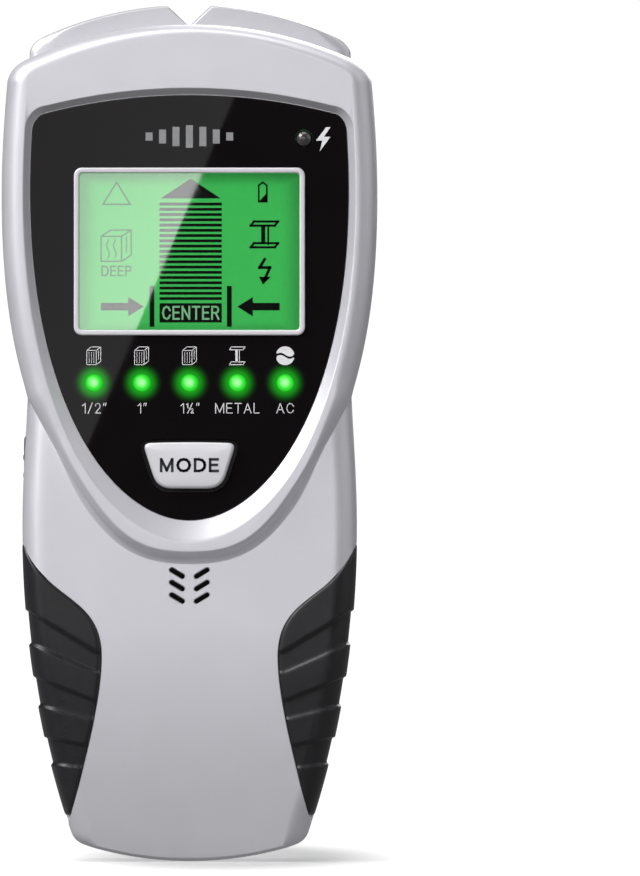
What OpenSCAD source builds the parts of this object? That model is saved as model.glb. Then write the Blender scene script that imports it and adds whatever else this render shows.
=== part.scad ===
// Wall scanner (stud finder) that stands on its tail: X to the right, Z up to the nose,
// -Y towards the user and +Y towards the wall. Sizes are in millimetres.
// A depth is measured forward from the wall plane, on which the glide pads rest.

/* [Case] */
// Height from the tail to the tips of the nose
tool_h = 160; // [158:0.5:162]
// Width across the head
tool_w = 70; // [69:0.5:72]
// Depth from the wall plane to the rim of the bezel
tool_d = 31; // [30.8:0.1:32]
// Depth from the wall plane to the front of the handle
handle_d = 26.6; // [26.4:0.1:27.2]
// Depth of the seam between the two halves of the case
seam_d = 13; // [12.6:0.1:13.4]
// Wall of the case
wall = 2.2; // [2:0.1:2.4]

/* [Bezel and display] */
// Width of the rounding along the sides of the bezel
bezel_round = 3.9; // [3:0.1:4.2]
// Depth of the display lens face below the rim
lens_sink = 1.8; // [1.5:0.1:2]
// Thickness of the display lens
lens_t = 1.5; // [1.2:0.1:1.6]
// Outer width of the silver frame round the display
trim_w = 43; // [41:0.5:44]
// Outer height of the silver frame round the display
trim_h = 31.2; // [29:0.1:32]

/* [Lamps] */
// Diameter of a lamp
lamp_dia = 3; // [2.6:0.1:3.2]
// Spacing of the five scale lamps
lamp_pitch = 8.9; // [8:0.1:9.2]

/* [Buttons] */
// Travel of the mode button
mode_travel = 0.8; // [0.4:0.1:0.9]
// Travel of the scan button
scan_travel = 0.6; // [0.3:0.1:0.7]
// Gap round a button in its opening
button_gap = 0.3; // [0.2:0.05:0.4]

/* [Grips] */
// Thickness of the soft grip
grip_t = 1.5; // [1.2:0.1:1.8]
// Height of a raised band above the next sunk one
band_step = 0.5; // [0.3:0.1:0.7]

/* [Battery door] */
// Width of the door
door_w = 31.4; // [30:0.1:31.6]
// Radius of the hinge pins
hinge_r = 0.8; // [0.7:0.05:0.9]
// Running gap between a hinge pin and its socket
hinge_gap = 0.05; // [0.03:0.01:0.1]

/* [Hidden] */
$fn = 48;

kx = tool_w / 70;               // the outlines below are drawn 70 wide
kz = tool_h / 160;              // and 160 high
wall_y = tool_d / 2;            // Y of the wall plane
back_d = 0.4;                   // the glide pads stand proud of the back by this much
floor_d = back_d + wall;
lens_d = tool_d - lens_sink;    // face of the lens
plate_d = lens_d - lens_t;      // front face of the plate under the lens
plate_in_d = plate_d - 1.8;     // its inner face
handle_in_d = 22.6;             // inner face of the handle's front wall
grip_wall = wall + 1;           // the handle wall is thicker, to hold the grips
side_round = 4.4;               // rounding along the sides of the handle
end_round = 2.4;                // and at its foot
bezel_end_round = 1.9;          // rounding along the top of the bezel
bend_z = 45;                    // the handle's front bends back below this height
bend_r = 260;
foot_step_z = 9.5 * kz;         // the handle is less hollow below this height
board_d = 19;                   // back face of the main board
board_t = 1.6;
board_front_d = board_d + board_t;
bore_gap = 0.1;                 // radial gap of a plunger or a lamp in its hole

lamp_z = 89.3 * kz;
lamp_r = lamp_dia / 2;
warn = [21.3, 134.7 * kz];      // the warning lamp
display_z = 113.7 * kz;
window = [42, 30.2];            // opening of the case at the display
view = [41.6, 29.8];            // the part of the glass that stands in it
glass = [45.2, 34.4];           // the whole glass
glass_t = 1.2;
glass_d = plate_in_d - glass_t; // depth of its step
holder_t = 1.4;                 // wall of the frame round the glass
trim_band = 1;
trim_sink = 0.6;                // the trim's depth below the lens face
mode_z = 73.9 * kz;
mode_top_d = lens_d + 1;
scan_z = 72 * kz;
scan_d = 17.5;
scan_w = 6;
scan_h = 15;
scan_x = -31.1 * kx;            // outer face of the scan button
scan_stem_x = -25.9;            // where the scan button meets its plunger
scan_tip_x = -22.9;             // end of that plunger in its switch
stem_r = 2;                     // stems on the back of the buttons
plunger_r = 1.7;
mode_stem_d = 24.6;             // where the mode button meets its plunger
mode_tip_d = 22;                // end of that plunger in its switch
buzzer_z = 52 * kz;
buzzer_r = 10;

case_screw_at = [[28.5, 134], [25.5, 92], [19.6, 13]];
screw_head = [2.6, 2.4, 4.4];   // radius, and depths from and to
screw_r = 1.15;
screw_tip_d = 19;
board_screw_at = [[21.5, 142.5], [17.5, 81]];
coil_at = [0, 118 * kz];

bay_x = 14.2;                   // half width of the battery bay
bay_z = [12, 66.3];
bay_d = 21.3;
bay_wall = 1.4;
cell = [26.5, 17.5, 46.4];      // a 9 V block
cell_z = 12.5;
cell_d = 3.5;
stud_h = 2.1;
stud_x = 6.35;
hinge_z = 10;
hinge_d = 2.3;
knuckle_r = 1.4;
knuckle_x = 10;
ear_x = [knuckle_x + 0.3, knuckle_x + 2.8]; // the ears that hold the door's pins
door_gap = 0.3;
hinge_swing = 2.1;              // room that the door needs below its hinge
tongue_x = 7.4;                 // half width of the door's snap tongue
tongue_z = 48;
door_top_z = 63.7;
door_t = 2;
pad_r = 3;
pad_t = 1.2;
pad_half = 17;                  // half length of a pad, without its round ends
pad_at = [146 * kz, 76 * kz];   // heights of the two glide pads

// ---- outline helpers; a point is [x, z] ----

function bez(a, b, c, d, n) = [for (i = [0:n - 1]) let (t = i / n)
  a * pow(1 - t, 3) + 3 * b * t * pow(1 - t, 2) + 3 * c * t * t * (1 - t) + d * pow(t, 3)];

function arc(c, r, a0, a1, n) = [for (i = [0:n - 1]) let (a = a0 + (a1 - a0) * i / n)
  [c[0] + r * cos(a), c[1] + r * sin(a)]];

function scaled(pts) = [for (p = pts) [p[0] * kx, p[1] * kz]];

// A right half runs from the top of the centre line to its foot; this adds the left half.
function ring(half) = concat(half,
  [for (i = [len(half) - 2:-1:1]) [-half[i][0], half[i][1]]]);

function normals(r) = let (n = len(r)) [for (j = [0:n - 1])
  let (t = r[(j + 1) % n] - r[(j - 1 + n) % n]) [-t[1], t[0]] / norm(t)];

function inset(r, w) = let (n = normals(r)) [for (j = [0:len(r) - 1]) r[j] - w * n[j]];

// Corners of a polygon cut back by the given lengths and rounded.
function rounded(pts, cuts, n = 4) = let (m = len(pts)) [for (i = [0:m - 1])
  let (p = pts[i], a = pts[(i - 1 + m) % m] - p, b = pts[(i + 1) % m] - p,
    from = p + a / norm(a) * cuts[i], to = p + b / norm(b) * cuts[i])
  for (k = [0:n]) let (t = k / n) from * pow(1 - t, 2) + 2 * p * t * (1 - t) + to * t * t];

// ---- outlines ----

crown = concat(
  arc([0, 82], 74, 90, 66, 7),
  bez([30.1, 149.6], [31.9, 148.8], [33.2, 147.2], [33.9, 145.5], 4),
  bez([33.9, 145.5], [34.5, 139], [35, 132], [35, 124], 4));
flank = bez([35, 124], [35, 100.1], [30.9, 90.2], [30.2, 86.6], 8);
tail = concat(
  bez([31.2, 63], [31.2, 36.8], [26.3, 17.7], [22.2, 5.6], 9),
  bez([22.2, 5.6], [21.7, 4], [20.6, 3.2], [18.2, 2.6], 3),
  arc([0, 66], 66, -74, -90, 5), [[0, 0]]);

head_ring = ring(scaled(concat(crown, flank,
  bez([30.2, 86.6], [16.7, 61], [12.4, 56.6], [0, 56.6], 11), [[0, 56.6]])));
handle_ring = ring(scaled(concat([[0, 100], [14, 99], [26, 97], [29, 92]],
  bez([30.2, 86.6], [30.5, 80], [31.2, 71], [31.2, 63], 4), tail)));
case_ring = ring(scaled(concat(crown, flank,
  bez([30.2, 86.6], [30.5, 80], [31.2, 71], [31.2, 63], 4), tail)));
nose_ring = ring(scaled(concat([[0, 156.4], [3.95, 160]],
  arc([0, 94.1], 66, 82, 65.8, 5),
  bez([27.1, 154.3], [29.1, 153.3], [30.1, 152.4], [30.1, 150.4], 4),
  [[30.1, 146], [0, 146]])));
lens_ring = ring(scaled(concat(
  arc([0, 35.2], 107.75, 90, 75.5, 6),
  bez([27, 139.5], [28.4, 139.1], [29.3, 137.6], [29.4, 136], 4),
  bez([29.4, 136], [29.6, 132], [29.75, 129], [29.75, 125], 2),
  bez([29.75, 125], [29.75, 84.3], [14, 63.6], [0, 63.6], 16), [[0, 63.6]])));
rim_ring = ring(scaled(concat(
  arc([0, 35.2], 109, 90, 75.5, 6),
  bez([27.3, 140.8], [29.3, 140.3], [30.6, 138.4], [30.7, 136.2], 4),
  bez([30.7, 136.2], [30.9, 132], [31.05, 129], [31.05, 125], 2),
  bez([31.05, 125], [31.05, 79], [12.6, 59.4], [0, 59.4], 16), [[0, 59.4]])));

// The right grip: its inner edge as it is seen from the front, then out past the side.
grip_edge = scaled(concat(
  bez([31.6, 60.2], [27, 48.2], [16.4, 50.2], [16.4, 38.2], 8),
  bez([16.4, 38.2], [16.4, 30], [20.2, 15.5], [23.1, 6], 7), [[23.1, 6], [40, 6], [40, 60.2]]));
// Sunk bands of the right grip: outer top, inner top, inner foot, outer foot.
sunk_bands = [for (b = [
  [[33, 46.2], [15, 37.8], [15, 34.7], [33, 42.9]],
  [[31, 34.2], [15, 29], [15, 26.1], [31, 31.3]],
  [[29, 23.7], [15, 21.1], [15, 16.9], [29, 20.4]]]) scaled(b)];

// ---- solids ----

// A solid through rings of [x, z, depth]; every ring is symmetric about the centre line.
module loft(rings) {
  n = len(rings[0]);
  half = n / 2;
  last = (len(rings) - 1) * n;
  strips = [for (j = [0:half - 1]) each [[j, j + 1, n - j - 1], [j, n - j - 1, (n - j) % n]]];
  cap = [for (f = strips) if (f[0] != f[1] && f[1] != f[2] && f[2] != f[0]) f];
  polyhedron(
    points = [for (r = rings) for (p = r) [p[0], wall_y - p[2], p[1]]],
    faces = concat(
      [for (f = cap) [for (k = f) k + last]],
      [for (f = cap) [f[2], f[1], f[0]]],
      [for (i = [0:len(rings) - 2]) for (j = [0:n - 1])
        let (a = i * n + j, b = i * n + (j + 1) % n) each [[a, b, b + n], [a, b + n, a + n]]]),
    convexity = 8);
}

// How far the handle's front lies back towards the tail.
function bend(z) = pow(max(0, bend_z - z), 2) / (2 * bend_r);

// Front half of the case: straight sides, then a rounding whose width is side_w at the
// sides and end_w at the top and foot. cut insets the whole skin.
module front_skin(r, front, side_w, end_w, bent, cut = 0, depth0 = seam_d) {
  n = normals(r);
  drop_d = tool_d - handle_d;
  skirt = [for (j = [0:len(r) - 1]) concat(r[j] - cut * n[j], depth0)];
  loft(concat([skirt], [for (a = [0:18:90]) [for (j = [0:len(r) - 1])
    let (w = end_w + (side_w - end_w) * abs(n[j][0]),
      p = r[j] - (cut + w * (1 - cos(a))) * n[j],
      top = front - cut - (bent ? bend(p[1]) : 0))
    concat(p, top - drop_d * (1 - sin(a)))]]));
}

module handle_skin(cut = 0, depth0 = seam_d) {
  front_skin(handle_ring, handle_d, side_round, end_round, true, cut, depth0);
}

// A prism of a 2-D shape in [x, z] between two depths.
module slab(d0, d1) {
  translate([0, wall_y - d0, 0]) rotate([90, 0, 0]) linear_extrude(d1 - d0) children();
}

module post(at, d0, d1, r) {
  translate([at[0], wall_y - d0, at[1]]) rotate([90, 0, 0]) cylinder(h = d1 - d0, r = r);
}

module block(x, z, d) {
  translate([x[0], wall_y - d[1], z[0]]) cube([x[1] - x[0], d[1] - d[0], z[1] - z[0]]);
}

// A round bar along X.
module bar(x, z, d, r) {
  translate([x[0], wall_y - d, z]) rotate([0, 90, 0]) cylinder(h = x[1] - x[0], r = r);
}

module both_sides() {
  children();
  mirror([1, 0, 0]) children();
}

module round_rect(w, h, r) {
  square([w - 2 * r, h], center = true);
  square([w, h - 2 * r], center = true);
  for (x = [-1, 1], z = [-1, 1]) translate([x * (w / 2 - r), z * (h / 2 - r)]) circle(r);
}

// A slot with round ends between two points.
module slot(a, b, r) {
  v = b - a;
  translate(a) circle(r);
  translate(b) circle(r);
  translate(a) rotate(atan2(v[1], v[0])) translate([0, -r]) square([norm(v), 2 * r]);
}

module lamp_holes(r, d0, d1) {
  for (i = [-2:2]) post([i * lamp_pitch, lamp_z], d0, d1, r);
  post(warn, d0, d1, r);
}

module case_screw_posts(d0, d1, r) {
  both_sides() for (p = case_screw_at) post([p[0], p[1] * kz], d0, d1, r);
}

module board_screw_posts(d0, d1, r) {
  both_sides() for (p = board_screw_at) post([p[0], p[1] * kz], d0, d1, r);
}

module mode_shape(gap) {
  corners = scaled([[-9.2, 78.6], [9.2, 78.6], [6.25, 69.2], [-6.25, 69.2]]);
  polygon(inset(rounded(corners, [2.1, 2.1, 3, 3]), -gap));
}

// The scan button's outline, in [y, z].
module scan_shape(gap) {
  end = (scan_h - scan_w) / 2;
  translate([wall_y - scan_d, scan_z]) slot([0, -end], [0, end], scan_w / 2 + gap);
}

// A prism of a 2-D shape in [y, z] between two places along X.
module side_slab(x0, x1) {
  translate([x0, 0, 0]) rotate([90, 0, 90]) linear_extrude(x1 - x0) children();
}

module grip_region(outer) {
  slab(seam_d - 0.5, tool_d) polygon(outer);
}

// A round stem along X on the scan button's axis.
module scan_stem(x0, x1, r) {
  bar([x0, x1], scan_z, scan_d - 1.5, r);
}

// ---- case ----

// Room for the door and its hinge, less the two ears that hold the pins.
module door_opening() {
  half_w = door_w / 2 + door_gap;
  difference() {
    union() {
      block([-half_w, half_w], [hinge_z + 1, door_top_z + door_gap],
        [0, back_d + door_t + door_gap]);
      block([-half_w, half_w], [hinge_z - hinge_swing, bay_z[0]],
        [0, hinge_d + knuckle_r + door_gap]);
    }
    both_sides() {
      bar(ear_x, hinge_z, hinge_d, knuckle_r);
      block(ear_x, [hinge_z - 1.2, hinge_z + 1.2], [hinge_d, 5]);
    }
  }
}

module rear_case() {
  foot_d = floor_d - 0.4;       // ribs and posts start inside the floor
  rear_steps = [[0, 2.2], [0.35, 1.2], [1.1, 0.45], [2.6, 0], [seam_d - back_d, 0]];
  color("silver") difference() {
    union() {
      difference() {
        union() {
          loft([for (s = rear_steps) [for (p = inset(case_ring, s[1])) concat(p, back_d + s[0])]]);
          slab(back_d, seam_d) polygon(nose_ring);
        }
        slab(floor_d, seam_d + 1) polygon(inset(case_ring, wall));
      }
      block([-bay_x - 2.8, bay_x + 2.8], [6.2, bay_z[1] + 1.5], [foot_d, 5]);
      block([-bay_x - bay_wall, bay_x + bay_wall], [bay_z[0] - 1.3, bay_z[1] + 1.3],
        [4, bay_d + 1]);
      case_screw_posts(foot_d, seam_d, 3.2);
      both_sides() for (p = [[21, 144], [19, 76]]) post([p[0], p[1] * kz], foot_d, 4, 1.4);
    }
    block([-bay_x, bay_x], bay_z, [floor_d, bay_d]);
    door_opening();
    bar([-knuckle_x - 2, knuckle_x + 2], hinge_z, hinge_d, hinge_r + hinge_gap);
    bar([-tongue_x, tongue_x], door_top_z + 1.2, -1.6, 3.2);
    block([-8, 8], [bay_z[1] - 1, bay_z[1] + 2], [12, 16]);
    case_screw_posts(0, screw_head[2], screw_head[0] + 0.3);
    case_screw_posts(4, seam_d + 1, screw_r + 0.35);
    for (z = pad_at) slab(0, pad_t) slot([-pad_half - 0.2, z], [pad_half + 0.2, z], pad_r + 0.2);
  }
}

module front_case() {
  color("silver") difference() {
    union() {
      difference() {
        union() {
          front_skin(head_ring, tool_d, bezel_round, bezel_end_round, false);
          handle_skin();
        }
        slab(seam_d - 1, plate_in_d) polygon(inset(head_ring, wall));
        slab(seam_d - 1, handle_in_d - 2) polygon(inset(handle_ring, grip_wall));
        slab(seam_d - 1, handle_in_d) intersection() {
          polygon(inset(handle_ring, grip_wall));
          translate([-tool_w / 2, foot_step_z]) square([tool_w, tool_h]);
        }
        post([0, buzzer_z], seam_d, 24.3, buzzer_r + 0.4);
        loft([[for (p = lens_ring) concat(p, lens_d - 0.01)],
          [for (p = rim_ring) concat(p, tool_d + 0.01)]]);
      }
      both_sides() for (p = case_screw_at)
        post([p[0], p[1] * kz], seam_d, (p[1] < bend_z ? handle_in_d : plate_in_d) + 0.5, 3);
      board_screw_posts(board_front_d, plate_in_d + 0.5, 2.2);
    }
    slab(plate_d, lens_d) polygon(lens_ring);
    slab(plate_in_d - 1, plate_d + 1) translate([0, display_z]) square(window, center = true);
    slab(plate_in_d - 1, plate_d + 1) mode_shape(button_gap);
    lamp_holes(lamp_r + 0.3, plate_in_d - 1, plate_d + 1);
    case_screw_posts(seam_d - 1, 20, 1.2);
    board_screw_posts(board_front_d - 1, 24.6, 1);
    both_sides() for (i = [0:2]) slab(handle_in_d - 1, tool_d)
      slot([3.3, (54.4 - 2.32 * i) * kz], [1.3, (53.2 - 2.32 * i) * kz], 0.42);
    side_slab(-40, -26) scan_shape(button_gap);
    side_slab(-29 * kx, -26) scan_shape(1.2);
    both_sides() difference() {
      grip_region(grip_edge);
      handle_skin(grip_t, seam_d - 1);
    }
  }
}

module grip() {
  color("#26262a") difference() {
    intersection() {
      handle_skin();
      grip_region(grip_edge);
    }
    handle_skin(grip_t, seam_d - 1);
    for (b = sunk_bands) difference() {
      grip_region(b);
      handle_skin(band_step, seam_d - 1);
    }
  }
}

module grip_right() { grip(); }

module grip_left() { mirror([1, 0, 0]) grip(); }

module glide_pads() {
  color("#3a3a3c") for (z = pad_at) slab(0, pad_t) slot([-pad_half, z], [pad_half, z], pad_r);
}

module case_screws() {
  color("gray") {
    case_screw_posts(screw_head[1], screw_head[2], screw_head[0]);
    case_screw_posts(screw_head[2], screw_tip_d, screw_r);
  }
}

// ---- display ----

module trim_shape() {
  translate([0, display_z]) difference() {
    round_rect(trim_w, trim_h, 1.5);
    round_rect(trim_w - 2 * trim_band, trim_h - 2 * trim_band, 0.7);
  }
}

// A block behind the display, given its size seen from the front.
module display_block(size, d, rise = 0) {
  block([-size[0] / 2, size[0] / 2],
    [display_z + rise - size[1] / 2, display_z + rise + size[1] / 2], d);
}

module display_lens() {
  color("#101012") difference() {
    slab(plate_d, lens_d) polygon(inset(lens_ring, 0.08));
    slab(plate_d - 1, lens_d + 1) mode_shape(button_gap);
    lamp_holes(lamp_r + 0.2, plate_d - 1, lens_d + 1);
    slab(lens_d - trim_sink, lens_d + 1) trim_shape();
  }
}

module display_trim() {
  color("lightgray") slab(lens_d - trim_sink, lens_d + 0.35) trim_shape();
}

module lcd_glass() {
  color("#3fb756") {
    display_block(glass, [glass_d - glass_t, glass_d]);
    display_block(view, [glass_d, plate_d - 0.1]);
  }
}

module backlight() {
  color("white") display_block([43.6, 28.6], [board_front_d, glass_d - glass_t]);
}

module contact_strips() {
  color("pink") for (s = [-1, 1])
    display_block([40, 2.4], [board_front_d, glass_d - glass_t], s * 15.8);
}

module lcd_holder() {
  inside = glass + [0.4, 0.4];
  color("#ddddd8") difference() {
    display_block(inside + [2 * holder_t, 2 * 1.2], [board_front_d, plate_in_d - 0.2]);
    display_block(inside, [board_front_d - 1, tool_d]);
  }
}

module lamp(at) {
  post(at, board_front_d, lens_d - 1, lamp_r);
  translate([at[0], wall_y - lens_d + 1, at[1]]) sphere(lamp_r);
}

module scale_lamps() {
  color("#4ce84c") for (i = [-2:2]) lamp([i * lamp_pitch, lamp_z]);
}

module warning_lamp() {
  color("#3a3634") lamp(warn);
}

module lamp_baffle() {
  color("#222222") difference() {
    block([-20.6, 20.6], [lamp_z - 2.9, lamp_z + 2.9], [board_front_d, plate_in_d - 0.2]);
    for (i = [-2:2]) post([i * lamp_pitch, lamp_z], board_front_d - 1, tool_d, lamp_r + 0.2);
  }
}

// ---- buttons ----

module mode_button() {
  flange_d = plate_in_d - 1;
  color("silver") {
    slab(flange_d, mode_top_d) mode_shape(0);
    slab(flange_d, flange_d + 0.7) mode_shape(1);
    post([0, mode_z], mode_stem_d, flange_d, stem_r);
  }
}

module mode_plunger() {
  color("#222222") post([0, mode_z], mode_tip_d, mode_stem_d, plunger_r);
}

module mode_switch() {
  color("#555555") difference() {
    block([-3, 3], [mode_z - 3, mode_z + 3], [board_front_d, 23.4]);
    post([0, mode_z], mode_tip_d - mode_travel - 0.1, 24, plunger_r + bore_gap);
  }
}

module scan_button() {
  color("#26262a") {
    side_slab(scan_x, -27.7) scan_shape(0);
    side_slab(-28.6, -27.7) scan_shape(0.9);
    scan_stem(-27.7, scan_stem_x, stem_r);
  }
}

module scan_plunger() {
  color("#222222") scan_stem(scan_stem_x, scan_tip_x, plunger_r);
}

module scan_switch() {
  color("#555555") difference() {
    block([-25, -21], [scan_z - 3, scan_z + 3], [board_d - 6, board_d]);
    scan_stem(-26, scan_tip_x + scan_travel + 0.1, plunger_r + bore_gap);
  }
}

// ---- boards ----

module board_shape(w_top, w_low, z_low, z_top) {
  z_step = 98 * kz;
  polygon([[-w_top, z_top], [w_top, z_top], [w_top, z_step], [w_low, z_step], [w_low, z_low],
    [-w_low, z_low], [-w_low, z_step], [-w_top, z_step]]);
}

module main_board() {
  color("#1f6b3a") difference() {
    slab(board_d, board_front_d) board_shape(24.5, 22, 69 * kz, 146 * kz);
    board_screw_posts(board_d - 1, board_front_d + 1, 1.1);
  }
}

module board_screws() {
  color("gray") {
    board_screw_posts(board_d - 1.2, board_d, 1.9);
    board_screw_posts(board_d, 24, 0.95);
  }
}

module sensor_board() {
  color("#1f6b3a") slab(4, 5.2) board_shape(24.8, 21.8, 72 * kz, 147 * kz);
}

module sense_plates() {
  color("#c8753c") for (i = [-1.5:1.5]) block([10 * i - 3.5, 10 * i + 3.5], [82 * kz, 140 * kz],
    [3.85, 4]);
}

module detector_coil() {
  color("#b5651d") difference() {
    post(coil_at, 6, 9.4, 13.5);
    post(coil_at, 5, 10, 10.2);
  }
}

module coil_bobbin() {
  color("#222222") difference() {
    union() {
      post(coil_at, 5.2, 10.2, 10.2);
      post(coil_at, 5.2, 6, 14);
      post(coil_at, 9.4, 10.2, 14);
    }
    post(coil_at, 5, 11, 4.05);
  }
}

module ferrite_core() {
  color("#444444") post(coil_at, 5.2, 10.6, 4);
}

module link_header() {
  color("#222222") block([-8, 8], [142 * kz, 144.5 * kz], [5.2, 7.7]);
}

module link_pins() {
  color("gold") for (i = [-2.5:2.5]) post([2.54 * i, 143.25 * kz], 7.7, board_d, 0.35);
}

module controller_chip() {
  color("#222222") block([-14, -2], [104 * kz, 104 * kz + 12], [board_d - 1.6, board_d]);
}

module amplifier_chip() {
  color("#222222") block([6, 12], [103 * kz, 103 * kz + 5], [board_d - 1.5, board_d]);
}

module crystal() {
  color("silver") slab(board_d - 3.5, board_d) translate([9, 117 * kz]) round_rect(11, 4.6, 2.2);
}

module capacitors() {
  color("#25304a") for (x = [-13, -5, 12]) post([x, 88 * kz], board_d - 7, board_d, 2.5);
}

module chip_resistors() {
  color("#333333") for (i = [0:5], k = [0:1]) block([-14 + 5 * i, -12.4 + 5 * i],
    [127 * kz + 4 * k, 127.8 * kz + 4 * k], [board_d - 0.5, board_d]);
}

module buzzer() {
  color("#222222") post([0, buzzer_z], bay_d + 1.1, 24.1, buzzer_r);
}

// ---- battery and door ----

module battery_door() {
  z_plate = hinge_z + 1.7;
  color("silver") {
    difference() {
      block([-door_w / 2, door_w / 2], [z_plate, door_top_z], [back_d, back_d + door_t]);
      both_sides() block([tongue_x, tongue_x + 1.2], [tongue_z, door_top_z + 1], [0, 5]);
    }
    block([-knuckle_x, knuckle_x], [hinge_z, z_plate + 1], [hinge_d - knuckle_r, back_d + door_t]);
    bar([-knuckle_x, knuckle_x], hinge_z, hinge_d, knuckle_r);
    bar([-knuckle_x - 1.6, knuckle_x + 1.6], hinge_z, hinge_d, hinge_r);
    for (i = [0:3]) block([-6, 6], [52 + 2.4 * i, 53 + 2.4 * i], [back_d - 0.25, back_d + 0.5]);
  }
}

module door_foam() {
  color("#2c2c2e") block([-9, 9], [24, 46], [back_d + door_t, cell_d - 0.1]);
}

module battery() {
  color("#2b2b2f") translate([0, wall_y - cell_d - cell[1] / 2, cell_z]) linear_extrude(cell[2])
    round_rect(cell[0], cell[1], 2);
}

module battery_studs() {
  d = cell_d + cell[1] / 2;
  color("silver") for (s = [[-1, 2.8], [1, 3.4]])
    translate([s[0] * stud_x, wall_y - d, cell_z + cell[2]]) cylinder(h = stud_h, r = s[1]);
}

module battery_snap() {
  d = cell_d + cell[1] / 2;
  z0 = cell_z + cell[2] + 0.3;
  color("#1c1c1e") difference() {
    block([-12.8, 12.8], [z0, z0 + 3.8], [d - 6.2, d + 6.2]);
    for (x = [-stud_x, stud_x]) translate([x, wall_y - d, z0 - 1]) cylinder(h = stud_h + 1, r = 3.6);
  }
}

// A lead runs up from the snap, out of the bay and forward to the main board, as an
// eight-sided tube through points of [z, depth].
module lead(x) {
  r = 0.65;
  route = [[cell_z + cell[2] + 4.1, 14], [66.5, 14], [68.9, 14.3], [70.4, 15.2], [71, 16.6],
    [71, board_d]];
  m = len(route);
  sides = 8;
  polyhedron(
    points = [for (i = [0:m - 1])
      let (v = route[min(i + 1, m - 1)] - route[max(i - 1, 0)], n = [-v[1], v[0]] / norm(v))
      for (k = [0:sides - 1]) let (a = 360 * k / sides, q = route[i] + r * sin(a) * n)
        [x + r * cos(a), wall_y - q[1], q[0]]],
    faces = concat([[for (k = [sides - 1:-1:0]) k]], [[for (k = [0:sides - 1]) (m - 1) * sides + k]],
      [for (i = [0:m - 2]) for (k = [0:sides - 1])
        let (a = i * sides + k, b = i * sides + (k + 1) % sides)
          each [[a, b, b + sides], [a, b + sides, a + sides]]]));
}

module lead_red() { color("red") lead(-5); }

module lead_black() { color("#1c1c1e") lead(5); }

rear_case();
front_case();
display_lens();
display_trim();
grip_left();
grip_right();
glide_pads();
case_screws();
battery_door();
door_foam();
mode_button();
mode_plunger();
scan_button();
scan_plunger();
main_board();
board_screws();
lcd_glass();
backlight();
lcd_holder();
contact_strips();
scale_lamps();
warning_lamp();
lamp_baffle();
mode_switch();
scan_switch();
buzzer();
sensor_board();
sense_plates();
detector_coil();
coil_bobbin();
ferrite_core();
link_header();
link_pins();
controller_chip();
amplifier_chip();
crystal();
capacitors();
chip_resistors();
battery();
battery_studs();
battery_snap();
lead_red();
lead_black();
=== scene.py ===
import math

import bmesh
import bpy
from mathutils import Matrix, Vector
from mathutils.geometry import intersect_point_line


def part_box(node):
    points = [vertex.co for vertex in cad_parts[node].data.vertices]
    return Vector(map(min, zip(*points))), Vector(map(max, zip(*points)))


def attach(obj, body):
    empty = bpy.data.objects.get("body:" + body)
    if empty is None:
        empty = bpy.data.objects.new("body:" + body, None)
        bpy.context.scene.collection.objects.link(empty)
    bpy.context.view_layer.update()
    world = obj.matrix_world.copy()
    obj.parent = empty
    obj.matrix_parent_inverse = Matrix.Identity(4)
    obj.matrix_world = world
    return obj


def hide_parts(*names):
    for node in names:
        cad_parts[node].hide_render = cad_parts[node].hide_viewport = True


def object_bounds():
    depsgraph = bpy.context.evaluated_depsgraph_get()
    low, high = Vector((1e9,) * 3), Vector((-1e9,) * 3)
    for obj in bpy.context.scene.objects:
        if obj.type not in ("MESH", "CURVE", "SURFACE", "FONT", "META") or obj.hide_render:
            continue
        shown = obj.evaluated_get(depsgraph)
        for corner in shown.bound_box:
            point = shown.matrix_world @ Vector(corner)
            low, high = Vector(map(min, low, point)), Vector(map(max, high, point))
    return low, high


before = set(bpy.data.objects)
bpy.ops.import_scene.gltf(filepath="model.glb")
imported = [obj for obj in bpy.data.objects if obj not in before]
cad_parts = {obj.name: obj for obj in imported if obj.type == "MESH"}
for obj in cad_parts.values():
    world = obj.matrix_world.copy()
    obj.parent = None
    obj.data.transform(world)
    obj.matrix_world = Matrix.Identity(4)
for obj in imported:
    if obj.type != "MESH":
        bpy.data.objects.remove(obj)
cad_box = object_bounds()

# Pieces are made in millimetres and set down in metres. X is to the right, Z up to the nose,
# and a depth d is measured forward from the wall plane, on which the glide pads rest.
MM = 0.001
WALL_Y = cad_box[1][1] / MM
WALL = 2.2
# How far the handle's edges are rounded, and how far the head stands above the handle.
ROUNDING = 4.4


def depth_span(node):
    """The depths of a CAD node's back and front."""
    low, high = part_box(node)
    return WALL_Y - high.y / MM, WALL_Y - low.y / MM


def centre(node):
    """The middle of a CAD node, as x and z."""
    low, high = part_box(node)
    return (low.x + high.x) / 2 / MM, (low.z + high.z) / 2 / MM


# Depths of the main faces, and places of the display, lamps and buttons.
SEAM_D, TOOL_D = depth_span("front_case")
PLATE_D, LENS_D = depth_span("display_lens")
BACK_D = depth_span("battery_door")[0] + 0.25
BUTTON_D = depth_span("mode_button")[1]
PICTURE_D = depth_span("lcd_glass")[1]
PLATE_IN_D = PLATE_D - 1.8
HANDLE_D = TOOL_D - ROUNDING
HANDLE_IN_D = 22.6
DISPLAY_Z = centre("display_trim")[1]
LAMP_Z = centre("scale_lamps")[1]
LAMP_PITCH = 8.9
LAMPS = [(LAMP_PITCH * i, LAMP_Z) for i in range(-2, 3)]
WARN = centre("warning_lamp")
MODE_Z = centre("mode_plunger")[1]
SCAN_Z = centre("scan_button")[1]
SCAN_D = 17.5
BUZZER_Z = centre("buzzer")[1]
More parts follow.
